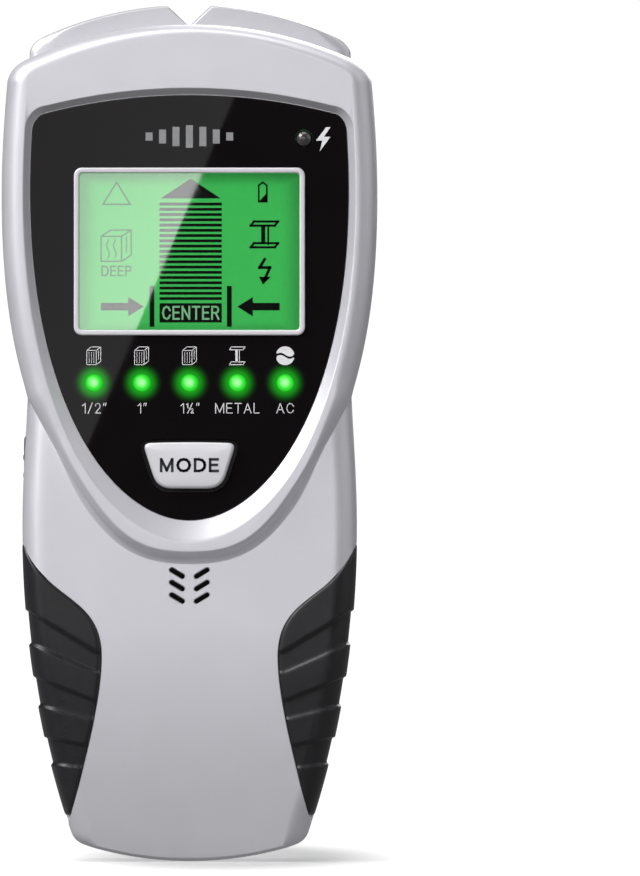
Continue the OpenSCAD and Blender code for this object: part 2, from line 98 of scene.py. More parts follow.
# Below BEND_Z the handle's front bends back, along a radius BEND_R.
BEND_Z = 45
BEND_R = 260
GRIP_T = 1.5
HINGE_D, HINGE_Z = 2.3, 10
DOOR_HALF, DOOR_TOP = 15.7, 63.7
PAD_ROWS = (146, 76)
CASE_SCREWS = [(28.5, 134), (25.5, 92), (19.6, 13)]
BOARD_SCREWS = [(21.5, 142.5), (17.5, 81)]

# ---- outlines: lists of (x, z) ----


def vectors(*points):
    return [Vector(p) for p in points]


def bez(a, b, c, d, n):
    """n points of a Bezier curve, without its end."""
    a, b, c, d = vectors(a, b, c, d)
    return [a * (1 - t) ** 3 + 3 * b * t * (1 - t) ** 2 + 3 * c * t * t * (1 - t) + d * t ** 3
            for t in [i / n for i in range(n)]]


def arc(at, r, a0, a1, n):
    """n points of an arc between two angles in degrees, without its end."""
    angles = [math.radians(a0 + (a1 - a0) * i / n) for i in range(n)]
    return [Vector((at[0] + r * math.cos(a), at[1] + r * math.sin(a))) for a in angles]


def quarter(step):
    """The shares by which a rounded edge falls short of its two sides, along a quarter turn."""
    angles = [math.radians(a) for a in range(0, 91, step)]
    return [(1 - math.cos(a), 1 - math.sin(a)) for a in angles]


def circle(at, r, n=32):
    return arc(at, r, 0, 360, n)


def even(points, n):
    """n points at equal steps along a line, without its end."""
    runs = [0]
    for p, q in zip(points, points[1:]):
        runs.append(runs[-1] + (q - p).length)
    result, k = [], 0
    for i in range(n):
        target = runs[-1] * i / n
        while runs[k + 1] < target:
            k += 1
        share = (target - runs[k]) / (runs[k + 1] - runs[k])
        result.append(points[k].lerp(points[k + 1], share))
    return result


def ring(half):
    """A whole outline from its right half, which runs from the top of the centre line down."""
    return half + [Vector((-p.x, p.y)) for p in half[-2:0:-1]]


def normals(outline):
    """The outward direction at each point of an outline."""
    chords = [q - p for p, q in zip(outline[-1:] + outline, outline[1:] + outline[:1])]
    return [Vector((-along.y, along.x)).normalized() for along in chords]


def inset(outline, w):
    return [p - n * w for p, n in zip(outline, normals(outline))]


def shrink(outline, w):
    """An outline moved inwards, without the points that cross over at tight corners."""
    edges = list(zip(outline, outline[1:] + outline[:1]))

    def clear(q):
        for a, b in edges:
            foot, share = intersect_point_line(q, a, b)
            nearest = a if share < 0 else b if share > 1 else foot.to_2d()
            if (q - nearest).length < 0.97 * w:
                return False
        return True
    return [q for q in inset(outline, w) if clear(q)]


def rounded(corners, cuts, n=6):
    """A polygon with its corners cut back and rounded."""
    outline = []
    m = len(corners)
    for i, cut in enumerate(cuts):
        p = Vector(corners[i])
        before = p + (Vector(corners[i - 1]) - p).normalized() * cut
        after = p + (Vector(corners[(i + 1) % m]) - p).normalized() * cut
        for k in range(n + 1):
            t = k / n
            outline.append(before * (1 - t) ** 2 + 2 * p * t * (1 - t) + after * t * t)
    return outline


def round_rect(at, w, h, r, n=6):
    outline = []
    for sx, sz, a in ((1, 1, 0), (-1, 1, 90), (-1, -1, 180), (1, -1, 270)):
        middle = (at[0] + sx * (w / 2 - r), at[1] + sz * (h / 2 - r))
        outline += arc(middle, r, a, a + 90 * (1 + 1 / n), n + 1)
    return outline


def rect(x, z):
    return vectors((x[0], z[0]), (x[1], z[0]), (x[1], z[1]), (x[0], z[1]))


def slot_outline(a, b, r, n=8):
    a, b = Vector(a), Vector(b)
    turn = math.degrees(math.atan2(b.y - a.y, b.x - a.x))
    step = 180 / n
    return arc(b, r, turn - 90, turn + 90 + step, n + 1) + \
        arc(a, r, turn + 90, turn + 270 + step, n + 1)


def stroke(points, w, closed=False):
    """Rectangles along a line of points."""
    points = vectors(*points, points[0]) if closed else vectors(*points)
    bars = []
    for p, q in zip(points, points[1:]):
        along = (q - p).normalized() * w / 2
        side = Vector((-along.y, along.x))
        bars.append([p - along - side, q + along - side, q + along + side, p - along + side])
    return bars


CORNER = [(30.1, 149.6), (31.9, 148.8), (33.4, 147.6), (33.9, 145.5)]
CHEEK = [(33.9, 145.5), (34.5, 139), (35, 132), (35, 124)]
FLANK = [(35, 124), (35, 100.1), (30.9, 90.2), (30.2, 86.6)]


def lens_parts(arc_r, *chain):
    """The crown, corner, cheek and foot of an outline round the lens, with their numbers of
    points. The last three are curves that meet end to end. The head's own outline is parted
    alike, so that a loft can join them."""
    return [(arc((0, 35.2), arc_r, 90, 75.4, 60), 26), (bez(*chain[:4], 30), 24),
            (bez(*chain[3:7], 30), 8), (bez(*chain[6:], 120), 64)]


HEAD_PARTS = [
    (arc((0, 82), 74, 90, 65.9, 60), 26),
    (bez(*CORNER, 30) + bez(*CHEEK, 60)[:24], 24),
    (bez(*CHEEK, 60)[24:], 8),
    (bez(*FLANK, 60) + bez((30.2, 86.6), (16.7, 61), (12.4, 56.6), (0, 56.6), 90), 64)]
RIM_PARTS = lens_parts(
    109, (27.3, 140.8), (29.3, 140.3), (30.6, 138.4), (30.7, 136.2), (30.9, 132), (31.05, 129),
    (31.05, 125), (31.05, 78), (13.2, 59.4), (0, 59.4))
LENS_PARTS = lens_parts(
    107.75, (27, 139.5), (28.4, 139.1), (29.3, 137.6), (29.4, 136), (29.6, 132), (29.75, 129),
    (29.75, 125), (29.75, 84.3), (14, 63.6), (0, 63.6))


def ring_of(parts, foot):
    """A whole outline, with the given number of even steps along each part of its half."""
    ends = [points[0] for points, n in parts[1:]] + vectors((0, foot))
    half = []
    for (points, n), end in zip(parts, ends):
        half += even(points + [end], n)
    return ring(half + ends[-1:])


HEAD_RING = ring_of(HEAD_PARTS, 56.6)
RIM_RING = ring_of(RIM_PARTS, 59.4)
LENS_RING = ring_of(LENS_PARTS, 63.6)
SHOULDER = bez((30.2, 86.6), (30.5, 80), (31.2, 71), (31.2, 63), 10)
SIDE = [(31.2, 63), (31.2, 36.8), (26.3, 17.7), (22.2, 5.6)]
TAIL_CORNER = bez((22.2, 5.6), (21.7, 4), (20.6, 3.2), (18.2, 2.6), 10)
TAIL = bez(*SIDE, 40) + TAIL_CORNER + arc((0, 66), 66, -74, -90, 16) + vectors((0, 0))
NECK = vectors((0, 100), (14, 99), (26, 97), (29, 92))
HANDLE_RING = ring(NECK + SHOULDER + TAIL)
CROWN = even(HEAD_PARTS[0][0], 24) + even(bez(*CORNER, 30) + vectors(CHEEK[0]), 10) \
    + even(bez(*CHEEK, 30) + vectors(FLANK[0]), 10) + bez(*FLANK, 20)
CASE_RING = ring(CROWN + SHOULDER + TAIL)
# Where the rounding of the handle meets its flat front. It runs close to the foot, so that the
# tail keeps a crisp edge.
FACE_RING = ring(inset(HANDLE_RING, ROUNDING)[:len(NECK + SHOULDER) + 40]
                 + bez((18.0, 6.9), (17.9, 5.5), (17.6, 4.3), (17.3, 3.2), 10)
                 + arc((0, 66), 65.3, -74.6, -90, 16) + vectors((0, 0.7)))
GRIP_TOP = [(31.6, 60.2), (27, 48.2), (16.4, 50.2), (16.4, 38.2)]
GRIP_FOOT = [(16.4, 38.2), (16.4, 30), (20.2, 15.5), (23.1, 6)]

# ---- solids: (points, faces) in millimetres ----


def spot(x, z, d):
    return Vector((x, WALL_Y - d, z))


def row_at(outline, d):
    """A row for a loft: an outline at one depth."""
    return [(*p, d) for p in outline]


def sideways(d, z, x):
    return spot(x, z, d)


def upright(x, d, z):
    return spot(x, z, d)


def walls(rows, closed=False):
    """The faces between rows of points; closed joins the last row to the first."""
    n, m = len(rows[0]), len(rows)
    return [(i * n + j, i * n + (j + 1) % n, (i + 1) % m * n + (j + 1) % n, (i + 1) % m * n + j)
            for i in range(m if closed else m - 1) for j in range(n)]


def stack(rows, put=spot):
    """A solid through rows of an outline and a depth, with flat ends."""
    points = [put(p.x, p.y, d) for outline, d in rows for p in outline]
    n = len(rows[0][0])
    first = len(points) - n
    return points, walls([r[0] for r in rows]) + [tuple(range(n)), tuple(range(first, first + n))]


def prism(outline, d0, d1, put=spot):
    return stack([(outline, d0), (outline, d1)], put)


def hoop(rows, put=spot):
    """A closed ring of material, whose section is given by outlines and depths."""
    points = [put(p.x, p.y, d) for outline, d in rows for p in outline]
    return points, walls([r[0] for r in rows], closed=True)


def turned(at, profile, put=spot, n=40):
    """A turned solid: profile is a list of (radius, depth)."""
    return stack([(circle(at, r, n), d) for r, d in profile], put)


def loft(rows):
    """A solid through rows of (x, z, d), each symmetric about the centre line; both ends are
    closed by strips from side to side, so that an end may be curved."""
    n = len(rows[0])
    half = n // 2
    faces = walls(rows)
    for base in (0, (len(rows) - 1) * n):
        strips = [(0, 1, n - 1)] + [(j, j + 1, n - j - 1, n - j) for j in range(1, half - 1)]
        strips.append((half - 1, half, half + 1))
        faces += [tuple(base + j for j in strip) for strip in strips]
    return [spot(*p) for row in rows for p in row], faces


def box(x, z, d):
    return prism(rect(x, z), d[0], d[1])


def both(solids):
    """The solids and their mirror images."""
    return solids + [([p * Vector((-1, 1, 1)) for p in points], faces) for points, faces in solids]


def lay(outlines, d0, d1):
    return [prism(outline, d0, d1) for outline in outlines]


def set_down(name, data):
    """A new object in the scene."""
    obj = bpy.data.objects.new(name, data)
    bpy.context.scene.collection.objects.link(obj)
    return obj


def model(name, solids):
    bm = bmesh.new()
    for points, faces in solids:
        verts = [bm.verts.new(p) for p in points]
        for face in faces:
            bm.faces.new([verts[i] for i in face])
    bmesh.ops.remove_doubles(bm, verts=bm.verts, dist=1e-5)
    many = [face for face in bm.faces if len(face.verts) > 4]
    bmesh.ops.triangulate(bm, faces=many)
    bmesh.ops.recalc_face_normals(bm, faces=bm.faces)
    mesh = bpy.data.meshes.new(name)
    bm.to_mesh(mesh)
    bm.free()
    return set_down(name, mesh)


def bake(obj):
    graph = bpy.context.evaluated_depsgraph_get()
    mesh = bpy.data.meshes.new_from_object(obj.evaluated_get(graph))
    old = obj.data
    obj.modifiers.clear()
    obj.data = mesh
    bpy.data.meshes.remove(old)


def carve(obj, solids, how="DIFFERENCE"):
    tool = solids if isinstance(solids, bpy.types.Object) else model("tool", solids)
    modifier = obj.modifiers.new(how, "BOOLEAN")
    modifier.operation = how
    modifier.solver = "EXACT"
    modifier.object = tool
    bake(obj)
    bpy.data.objects.remove(tool)


def weld(obj, solids):
    carve(obj, solids, "UNION")


def soften(obj, width):
    modifier = obj.modifiers.new("soften", "BEVEL")
    modifier.width = width
    modifier.segments = 2
    modifier.limit_method = "ANGLE"
    modifier.angle_limit = math.radians(40)
    bake(obj)


def paint(obj, material):
    obj.data.materials.clear()
    obj.data.materials.append(material)


def settle(obj, material, body="case", stands_for=None, sharp=38):
    """Turns a model into a piece of the object."""
    obj.data.transform(Matrix.Scale(MM, 4))
    paint(obj, material)
    obj.data.shade_smooth()
    obj.data.set_sharp_from_angle(angle=math.radians(sharp))
    shading = obj.modifiers.new("flat_stays_flat", "WEIGHTED_NORMAL")
    shading.keep_sharp = True
    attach(obj, body)
    if stands_for:
        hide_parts(stands_for)
    return obj


# ---- materials ----


def srgb(r, g, b):
    """A linear colour from a screen colour."""
    return tuple((c / 255 / 12.92) if c <= 10 else ((c / 255 + 0.055) / 1.055) ** 2.4
                 for c in (r, g, b)) + (1,)


def shade(colour, factor):
    return tuple(min(1, c * factor) for c in colour[:3]) + (1,)


def fill(socket, value):
    """Links a socket to another, or sets it to a constant."""
    if isinstance(value, bpy.types.NodeSocket):
        socket.id_data.links.new(value, socket)
    else:
        socket.default_value = value


def add_node(tree, kind, inputs=None, **settings):
    made = tree.nodes.new(kind)
    for key, value in settings.items():
        setattr(made, key, value)
    for key, value in (inputs or {}).items():
        fill(made.inputs[key], value)
    return made


class Finish:
    """A Principled material that is built up from nodes in object space."""

    def __init__(self, name, roughness=0.4, metallic=0, **constants):
        self.material = bpy.data.materials.new(name)
        self.material.use_nodes = True
        self.tree = self.material.node_tree
        self.shader = self.tree.nodes["Principled BSDF"]
        self.place = self.node("ShaderNodeTexCoord").outputs["Object"]
        self.set(Roughness=roughness, Metallic=metallic, **constants)

    def node(self, kind, inputs=None, **settings):
        return add_node(self.tree, kind, inputs, **settings)

    def set(self, **values):
        for key, value in values.items():
            fill(self.shader.inputs[key.replace("_", " ")], value)
        return self

    def show(self, shader):
        """Puts another shader in place of the Principled one."""
        fill(self.tree.nodes["Material Output"].inputs["Surface"], shader.outputs[0])

    def noise(self, size, detail=2):
        """Noise whose features are about size millimetres."""
        return self.node("ShaderNodeTexNoise", {"Vector": self.place, "Scale": 1 / (size * MM),
                                                "Detail": detail}).outputs[0]

    def ramp(self, value, stops):
        made = self.node("ShaderNodeValToRGB", {"Fac": value})
        elements = made.color_ramp.elements
        while len(elements) < len(stops):
            elements.new(0.5)
        for element, (position, colour) in zip(elements, stops):
            element.position = position
            element.color = colour
        return made.outputs[0]

    def math(self, operation, a, b=0.0):
        return self.node("ShaderNodeMath", {0: a, 1: b}, operation=operation).outputs[0]

    def times(self, a, b):
        return self.math("MULTIPLY", a, b)

    def within(self, value, middle, half):
        """1 where a value is less than half away from the middle, else 0."""
        away = self.math("ABSOLUTE", self.math("SUBTRACT", value, middle))
        return self.math("LESS_THAN", away, half)

    def lamp_reach(self):
        """The distance from the middle of the nearest lamp of the row."""
        half = LAMP_PITCH / 2 * MM
        x = self.node("ShaderNodeMath", {0: self.axis("X"), 1: half, 2: -half},
                      operation="WRAP").outputs[0]
        z = self.math("SUBTRACT", self.axis("Z"), LAMP_Z * MM)
        return self.math("SQRT", self.math("ADD", self.times(x, x), self.times(z, z)))

    def vector(self, operation, a, b=(0, 0, 0), output=0):
        return self.node("ShaderNodeVectorMath", {0: a, 1: b}, operation=operation).outputs[output]

    def emission(self, strength):
        return self.node("ShaderNodeEmission", {"Color": (1, 1, 1, 1), "Strength": strength})

    def span(self, value, low, high, to_low=0.0, to_high=1.0, kind="LINEAR"):
        made = self.node("ShaderNodeMapRange", {0: value, 1: low, 2: high, 3: to_low, 4: to_high},
                         interpolation_type=kind)
        return made.outputs[0]

    def mottle(self, colour, size, amount):
        """Base colour that varies a little over the surface."""
        low, high = shade(colour, 1 - amount), shade(colour, 1 + amount)
        return self.set(Base_Color=self.ramp(self.noise(size, 3), [(0.35, low), (0.65, high)]))

    def gloss(self, low, high, size):
        """Roughness that varies, as handling leaves it."""
        return self.set(Roughness=self.span(self.noise(size, 3), 0.3, 0.7, low, high))

    def bump(self, size, height, detail=2, source=None):
        """Relief of a height in millimetres, from noise or from another source."""
        source = source or self.noise(size, detail)
        made = self.node("ShaderNodeBump", {"Height": source, "Distance": height * MM})
        return self.set(Normal=made.outputs[0])

    def axis(self, name):
        return self.node("ShaderNodeSeparateXYZ", {"Vector": self.place}).outputs[name]


SILVER = srgb(203, 202, 208)


def silver(name):
    """Fine silver paint."""
    f = Finish(name, metallic=0.5)
    return f.mottle(SILVER, 14, 0.012).gloss(0.42, 0.48, 8).bump(0.09, 0.003)


def with_painted_shade(f, where, share):
    """The material, with shade painted into it: its base colour lowered to a share of itself where
    the value is 1.
    """
    colour = f.shader.inputs["Base Color"].links[0].from_socket
    scaled = f.node("ShaderNodeVectorMath", {0: colour, "Scale": f.span(where, 0, 1, 1, share)},
                    operation="SCALE")
    return f.set(Base_Color=scaled.outputs[0]).material


def front_finish():
    """Silver paint, with painted shade down inside the speaker slots."""
    f = silver("silver_front")
    face = spot(0, 0, HANDLE_D).y * MM
    # Painted shade: the silver falls to 4 percent of itself from 0.25 to 0.6 mm down in the slots.
    near = f.times(f.within(f.axis("X"), 0, 6 * MM), f.within(f.axis("Z"), 51.7 * MM, 5.6 * MM))
    slot_shade_depth = f.span(f.axis("Y"), face + 0.25 * MM, face + 0.6 * MM)
    return with_painted_shade(f, f.times(near, slot_shade_depth), 0.04)


def rear_finish():
    """Silver paint, with a little painted shade on the face of the nose plate."""
    f = silver("silver_rear")
    seam = spot(0, 0, SEAM_D).y * MM
    # Painted shade: the base colour falls to 76 percent on the front face of the nose plate.
    nose_face_shade = f.times(f.span(f.axis("Z"), 149 * MM, 151 * MM),
                      f.span(f.axis("Y"), seam + 0.8 * MM, seam + 0.3 * MM))
    return with_painted_shade(f, nose_face_shade, 0.76)


def button_finish():
    """Silver paint on the cap, and painted shade, nearly black, below it, where the button stands in
    its opening.
    """
    f = Finish("silver_button", metallic=0.35)
    f.mottle(srgb(206, 205, 210), 5, 0.015).gloss(0.36, 0.42, 3).bump(0.08, 0.003)
    top = spot(0, 0, BUTTON_D).y * MM
    # Painted shade: below the cap the colour falls nearly to black, where the button sits down in
    # its opening.
    return with_painted_shade(f, f.span(f.axis("Y"), top + 0.45 * MM, top + 0.75 * MM), 0.01)


def rubber_finish():
    f = Finish("grip_rubber", Specular_IOR_Level=0.34, Sheen_Weight=0.05, Sheen_Roughness=0.5)
    return f.mottle(srgb(23, 23, 26), 3, 0.12).gloss(0.34, 0.46, 2).bump(0.16, 0.012).material


def side_button_finish():
    f = Finish("side_button_rubber", Specular_IOR_Level=0.4)
    return f.mottle(srgb(44, 44, 49), 2, 0.1).gloss(0.45, 0.55, 2).bump(0.14, 0.01).material


def panel_finish():
    """Black gloss, with a painted glow of the five lamps round each of them."""
    f = Finish("black_panel", Specular_IOR_Level=0.25)
    f.mottle(srgb(17, 14, 16), 12, 0.06).gloss(0.004, 0.012, 10)
    # Painted light: the panel itself glows green round each lamp.
    glow = f.span(f.lamp_reach(), 1.5 * MM, 4.6 * MM, 1.0, 0.0, "SMOOTHSTEP")
    glow = f.times(f.math("POWER", glow, 2.7), f.within(f.axis("X"), 0, 2.5 * LAMP_PITCH * MM))
    f.set(Emission_Color=f.ramp(glow, [(0, (0, 0, 0, 1)), (1, (0.008, 0.34, 0.01, 1))]),
          Emission_Strength=1.0)
    return f.material


def window_finish():
    """The clear window: a faint mirror over what lies below it."""
    f = Finish("display_window", Alpha=0.19, metallic=1)
    return f.mottle((0.98, 0.99, 0.98, 1), 15, 0.01).gloss(0.004, 0.012, 12).material


def picture_finish():
    """The lit green of the display, darker towards its edges and most so at the top: partly the
    falloff of its backlight, partly painted shade of the frame over it.
    """
    f = Finish("lcd_green", Specular_IOR_Level=0.2)
    # Painted shade and backlight falloff: the green darkens towards the edges, most under the
    # frame's top.
    z = f.math("SUBTRACT", f.axis("Z"), DISPLAY_Z * MM)
    top = f.span(z, 11.6 * MM, 14.8 * MM, 0, 1, "SMOOTHSTEP")
    foot = f.span(z, -12.6 * MM, -14.8 * MM, 0, 0.5, "SMOOTHSTEP")
    side = f.span(f.math("ABSOLUTE", f.axis("X")), 16.5 * MM, 20.8 * MM, 0, 0.75, "SMOOTHSTEP")
    dark = f.math("MAXIMUM", f.math("MAXIMUM", top, foot), side)
    dark = f.math("ADD", dark, f.span(f.noise(13, 1), 0.3, 0.7, -0.08, 0.08))
    green = f.ramp(dark, [(0, srgb(66, 204, 94)), (0.5, srgb(58, 178, 82)), (1, srgb(46, 146, 66))])
    f.set(Base_Color=f.ramp(dark, [(0, (0.01, 0.05, 0.015, 1)), (1, (0.01, 0.03, 0.012, 1))]),
          Emission_Color=green, Emission_Strength=1.0, Roughness=0.6)
    return f.material


def ink_finish(name, colour, glow=0.0):
    """Printed or lit marks. On printed ink the glow is painted light; on the display's marks it is
    their backlight.
    """
    f = Finish(name, roughness=0.5, Specular_IOR_Level=0.15)
    f.mottle(colour, 1.2, 0.06)
    if glow:
        f.set(Emission_Color=f.ramp(f.noise(1.5), [(0.3, shade(colour, 0.94)), (0.7, colour)]),
              Emission_Strength=glow)
    return f.material


def trim_finish():
    f = Finish("trim_silver", metallic=0.3)
    return f.mottle(srgb(206, 203, 209), 8, 0.015).gloss(0.46, 0.52, 8).bump(0.1, 0.001).material


def lamp_finish():
    """A lit green lamp: nearly white at its heart, bright green round it."""
    f = Finish("green_lamp", roughness=0.5, Specular_IOR_Level=0.2)
    share = f.span(f.lamp_reach(), 0, 1.7 * MM)
    light = f.ramp(share, [(0, (0.42, 0.96, 0.40, 1)), (0.28, (0.30, 0.92, 0.28, 1)),
                           (0.6, (0.04, 0.74, 0.04, 1)), (1, (0.01, 0.42, 0.012, 1))])
    f.mottle((0.01, 0.08, 0.012, 1), 1, 0.1)
    return f.set(Emission_Color=light, Emission_Strength=1.12).material


def plain(name, colour, rough, metallic=0, grain=0.2, relief=0.006, mottle=0.08, patch=3,
          **constants):
    f = Finish(name, metallic=metallic, **constants)
    return f.mottle(colour, patch, mottle).gloss(rough - 0.05, rough + 0.05, patch).bump(
        grain, relief).material


def felt_finish():
    f = Finish("glide_felt", Sheen_Weight=0.6, Sheen_Roughness=0.6, Specular_IOR_Level=0.1)
    return f.mottle(srgb(52, 52, 56), 0.5, 0.35).gloss(0.9, 1.0, 1).bump(0.25, 0.12, 6).material


def foam_finish():
    f = Finish("door_foam", Specular_IOR_Level=0.1)
    cells = f.node("ShaderNodeTexVoronoi", {"Vector": f.place, "Scale": 1 / (0.5 * MM)})
    return f.mottle(srgb(40, 40, 43), 1, 0.2).gloss(0.85, 0.95, 1).bump(
        0, 0.15, source=cells.outputs["Distance"]).material


def board_finish():
    """Solder mask over copper tracks."""
    f = Finish("circuit_board", Coat_Weight=0.4, Coat_Roughness=0.15)
    tracks = f.node("ShaderNodeTexBrick", {
        "Vector": f.node("ShaderNodeMapping", {
            "Vector": f.place, "Rotation": (math.radians(90), 0, 0)}).outputs[0],
        "Scale": 1 / (7 * MM), "Mortar Size": 0.018, "Mortar Smooth": 0.2,
        "Color1": srgb(24, 96, 52), "Color2": srgb(28, 104, 58), "Mortar": srgb(62, 140, 80)})
    f.set(Base_Color=tracks.outputs["Color"])
    return f.gloss(0.3, 0.4, 2).bump(0, 0.02, source=tracks.outputs["Fac"]).material


def winding_finish():
    f = Finish("copper_winding", metallic=0.85)
    turns = f.node("ShaderNodeTexWave", {"Vector": f.place, "Scale": 1 / (1.1 * MM)},
                   bands_direction="Y")
    return f.mottle(srgb(186, 104, 52), 1.5, 0.15).gloss(0.28, 0.4, 2).bump(
        0, 0.08, source=turns.outputs["Fac"]).material


def strip_finish():
    """Rubber strips that carry fine conducting layers."""
    f = Finish("contact_rubber", Specular_IOR_Level=0.3)
    layers = f.node("ShaderNodeTexWave", {"Vector": f.place, "Scale": 1 / (1.2 * MM)},
                    bands_direction="X")
    f.set(Base_Color=f.ramp(layers.outputs["Fac"], [(0.4, srgb(214, 150, 160)),
                                                    (0.6, srgb(60, 52, 56))]))
    return f.gloss(0.6, 0.7, 2).material


def battery_finish():
    """A plain dark jacket with a copper-coloured band above."""
    f = Finish("battery_jacket", metallic=0.6)
    band = f.math("GREATER_THAN", f.axis("Z"), 46 * MM)
    both_bands = f.math("MAXIMUM", band, f.within(f.axis("Z"), 45.2 * MM, 0.25 * MM))
    f.set(Base_Color=f.ramp(both_bands, [(0.4, srgb(34, 34, 38)), (0.6, srgb(186, 132, 74))]))
    return f.gloss(0.22, 0.34, 5).bump(0.3, 0.003).material


SHELL = silver("silver_shell").material
PANEL = panel_finish()
STEEL = plain("steel", srgb(150, 152, 156), 0.3, 0.9, 0.1, 0.004, 0.1)
NYLON = plain("black_nylon", srgb(28, 28, 30), 0.5)
# The printed inks on the panel carry a faint painted glow.
WHITE_INK = ink_finish("white_ink", srgb(206, 206, 208), 0.12)
GREY_INK = ink_finish("grey_ink", srgb(132, 132, 134), 0.10)
DARK_INK = ink_finish("dark_ink", srgb(50, 50, 55))
LCD_BLACK = ink_finish("lcd_black", srgb(3, 6, 4))
LCD_GHOST = ink_finish("lcd_ghost", srgb(22, 84, 38), 0.5)

# ---- case ----


def smoothstep(value, low, high):
    t = min(1, max(0, (value - low) / (high - low)))
    return t * t * (3 - 2 * t)


def bend(z):
    return max(0, BEND_Z - z) ** 2 / (2 * BEND_R)


def head_solid():
    """The head: skirt, rounded shoulder with a flare at its foot, rim and lip round the lens."""
    ns = normals(HEAD_RING)
    flare_r = 1.3
    rows = [row_at(inset(HEAD_RING, 0.22), SEAM_D), row_at(HEAD_RING, SEAM_D + 0.25)]
    rises = [-0.1, 0.02, 0.08, 0.2, 0.4, 0.65, 0.95, 1.3] + \
        [ROUNDING * math.sin(math.radians(a)) for a in range(22, 91, 4)] + [ROUNDING]
    for rise in rises:
        outline = []
        u = min(1, max(0, rise / flare_r))
        spread = flare_r * (1 - math.sqrt(1 - (1 - u) ** 2))
        round_share = 1 - math.sqrt(max(0, 1 - (max(0, rise) / ROUNDING) ** 2))
        for p, n in zip(HEAD_RING, ns):
            width = 1.4 + (0.5 + 2 * abs(n.x)) * smoothstep(p.y, 72, 92)
            flare = spread * (1 - smoothstep(p.y, 66, 78))
            outline.append(p - n * (width * round_share - flare))
        rows.append(row_at(outline, HANDLE_D + rise))
    for share, d in ((0, TOOL_D), (0.08, TOOL_D - 0.05), (0.16, TOOL_D - 0.2),
                     (0.94, LENS_D + 0.08), (1, LENS_D)):
        rows.append(row_at([p.lerp(q, share) for p, q in zip(RIM_RING, LENS_RING)], d))
    return loft(rows + [row_at(LENS_RING, PLATE_D)])


def handle_solid(cut=0):
    """The handle with its rounded sides and bent front; cut insets its whole skin."""
    outer, face = inset(HANDLE_RING, cut), inset(FACE_RING, cut)
    rows = [row_at(outer, SEAM_D - 1) if cut else row_at(inset(HANDLE_RING, 0.22), SEAM_D),
            row_at(outer, SEAM_D + 0.25)]
    for inward, fall in quarter(9):
        between = [p.lerp(q, inward) for p, q in zip(outer, face)]
        rows.append([(*q, HANDLE_D - cut - bend(q.y) - ROUNDING * fall) for q in between])
    return loft(rows)


def grip_edge(grow):
    """The grip's region as it is seen from the front, grown, and out past the handle's side."""
    edge = bez(*GRIP_TOP, 24) + bez(*GRIP_FOOT, 24) + vectors(GRIP_FOOT[-1])
    along = [q - p for p, q in zip(edge[:1] + edge, edge[1:] + edge[-1:])]
    edge = [p + Vector((v.y, -v.x)).normalized() * grow for p, v in zip(edge, along)]
    low, high = edge[-1].y - grow, edge[0].y + grow
    return edge + vectors((edge[-1].x, low), (40, low), (40, high), (edge[0].x, high))


def mode_outline(gap=0.0):
    """The mode button: two long sides that lean in, and an arched top."""
    half, top_z = 9.2, 78.4
    corners = rounded([(-half, top_z), (half, top_z), (6.25, 69.2), (-6.25, 69.2)],
                      [2.1, 2.1, 3, 3])
    outline = corners[:7] + [Vector((x, top_z)) for x in range(-6, 7, 2)] + corners[7:]
    arch = [0.2 * (1 - (p.x / half) ** 2) if p.y > top_z - 0.1 else 0 for p in outline]
    return inset([Vector((p.x, p.y + rise)) for p, rise in zip(outline, arch)], -gap)


def posts(places, r, d0, d1):
    return both([turned(at, [(r, d0), (r, d1)], n=24) for at in places])


def speaker_slots():
    """Six short slots, with eased edges."""
    slots = []
    for i in range(3):
        a, b = (3.3, 54.4 - 2.32 * i), (1.3, 53.2 - 2.32 * i)
        slots.append(stack([(slot_outline(a, b, r), d) for r, d in (
            (0.42, HANDLE_IN_D - 1), (0.42, HANDLE_D - 0.35), (0.62, HANDLE_D + 0.05))]))
    return both(slots)


def scan_outline(grow):
    half = 4.5
    return slot_outline((SCAN_D, SCAN_Z - half), (SCAN_D, SCAN_Z + half), 3 + grow, 12)


def make_front_shell():
    """The front half of the case: head and handle, hollow, with its posts, holes and recesses."""
    shell = model("front_shell", [head_solid()])
    weld(shell, [handle_solid()])
    cavity = model("cavity", [prism(shrink(HEAD_RING, WALL), SEAM_D - 1, PLATE_IN_D)])
    hollow = model("hollow", [prism(shrink(HANDLE_RING, WALL + 1), SEAM_D - 1, HANDLE_IN_D)])
    carve(hollow, [box((-40, 40), (0, 9.5), (HANDLE_IN_D - 2, TOOL_D))])
    weld(cavity, hollow)
    weld(cavity, [turned((0, BUZZER_Z), [(10.4, SEAM_D), (10.4, 24.3)])])
    carve(shell, cavity)
    weld(shell, posts(CASE_SCREWS[:2], 3, SEAM_D, PLATE_IN_D + 0.5)
         + posts(CASE_SCREWS[2:], 3, SEAM_D, HANDLE_IN_D + 0.5)
         + posts(BOARD_SCREWS, 2.2, 20.6, PLATE_IN_D + 0.5))
    windows = [rect((-21, 21), (DISPLAY_Z - 15.1, DISPLAY_Z + 15.1)), mode_outline(0.3)] \
        + [circle(at, 1.8, 40) for at in LAMPS + [WARN]]
    carve(shell, lay(windows, PLATE_IN_D - 1, PLATE_D + 1) + speaker_slots()
          + posts(CASE_SCREWS, 1.2, SEAM_D - 1, 20) + posts(BOARD_SCREWS, 1, 19.6, 24.6))
    carve(shell, [prism(scan_outline(0.3), -40, -26, sideways)])
    recess = model("recess", both([prism(grip_edge(0.12), SEAM_D - 0.5, TOOL_D)]))
    carve(recess, [handle_solid(GRIP_T)])
    carve(shell, recess)
    settle(shell, front_finish(), stands_for="front_case")


# The creases of a grip, each from its outer end to its inner one.
CREASES = [((30.1, 46.8), (17.3, 39.1)), ((29.4, 40.6), (17.7, 35.4)),
           ((28.7, 34.4), (17.8, 30.1)), ((27.8, 29.1), (18.4, 26.8)),
           ((26.5, 23.1), (19.4, 21.8)), ((25.3, 18.2), (20.3, 17.7))]


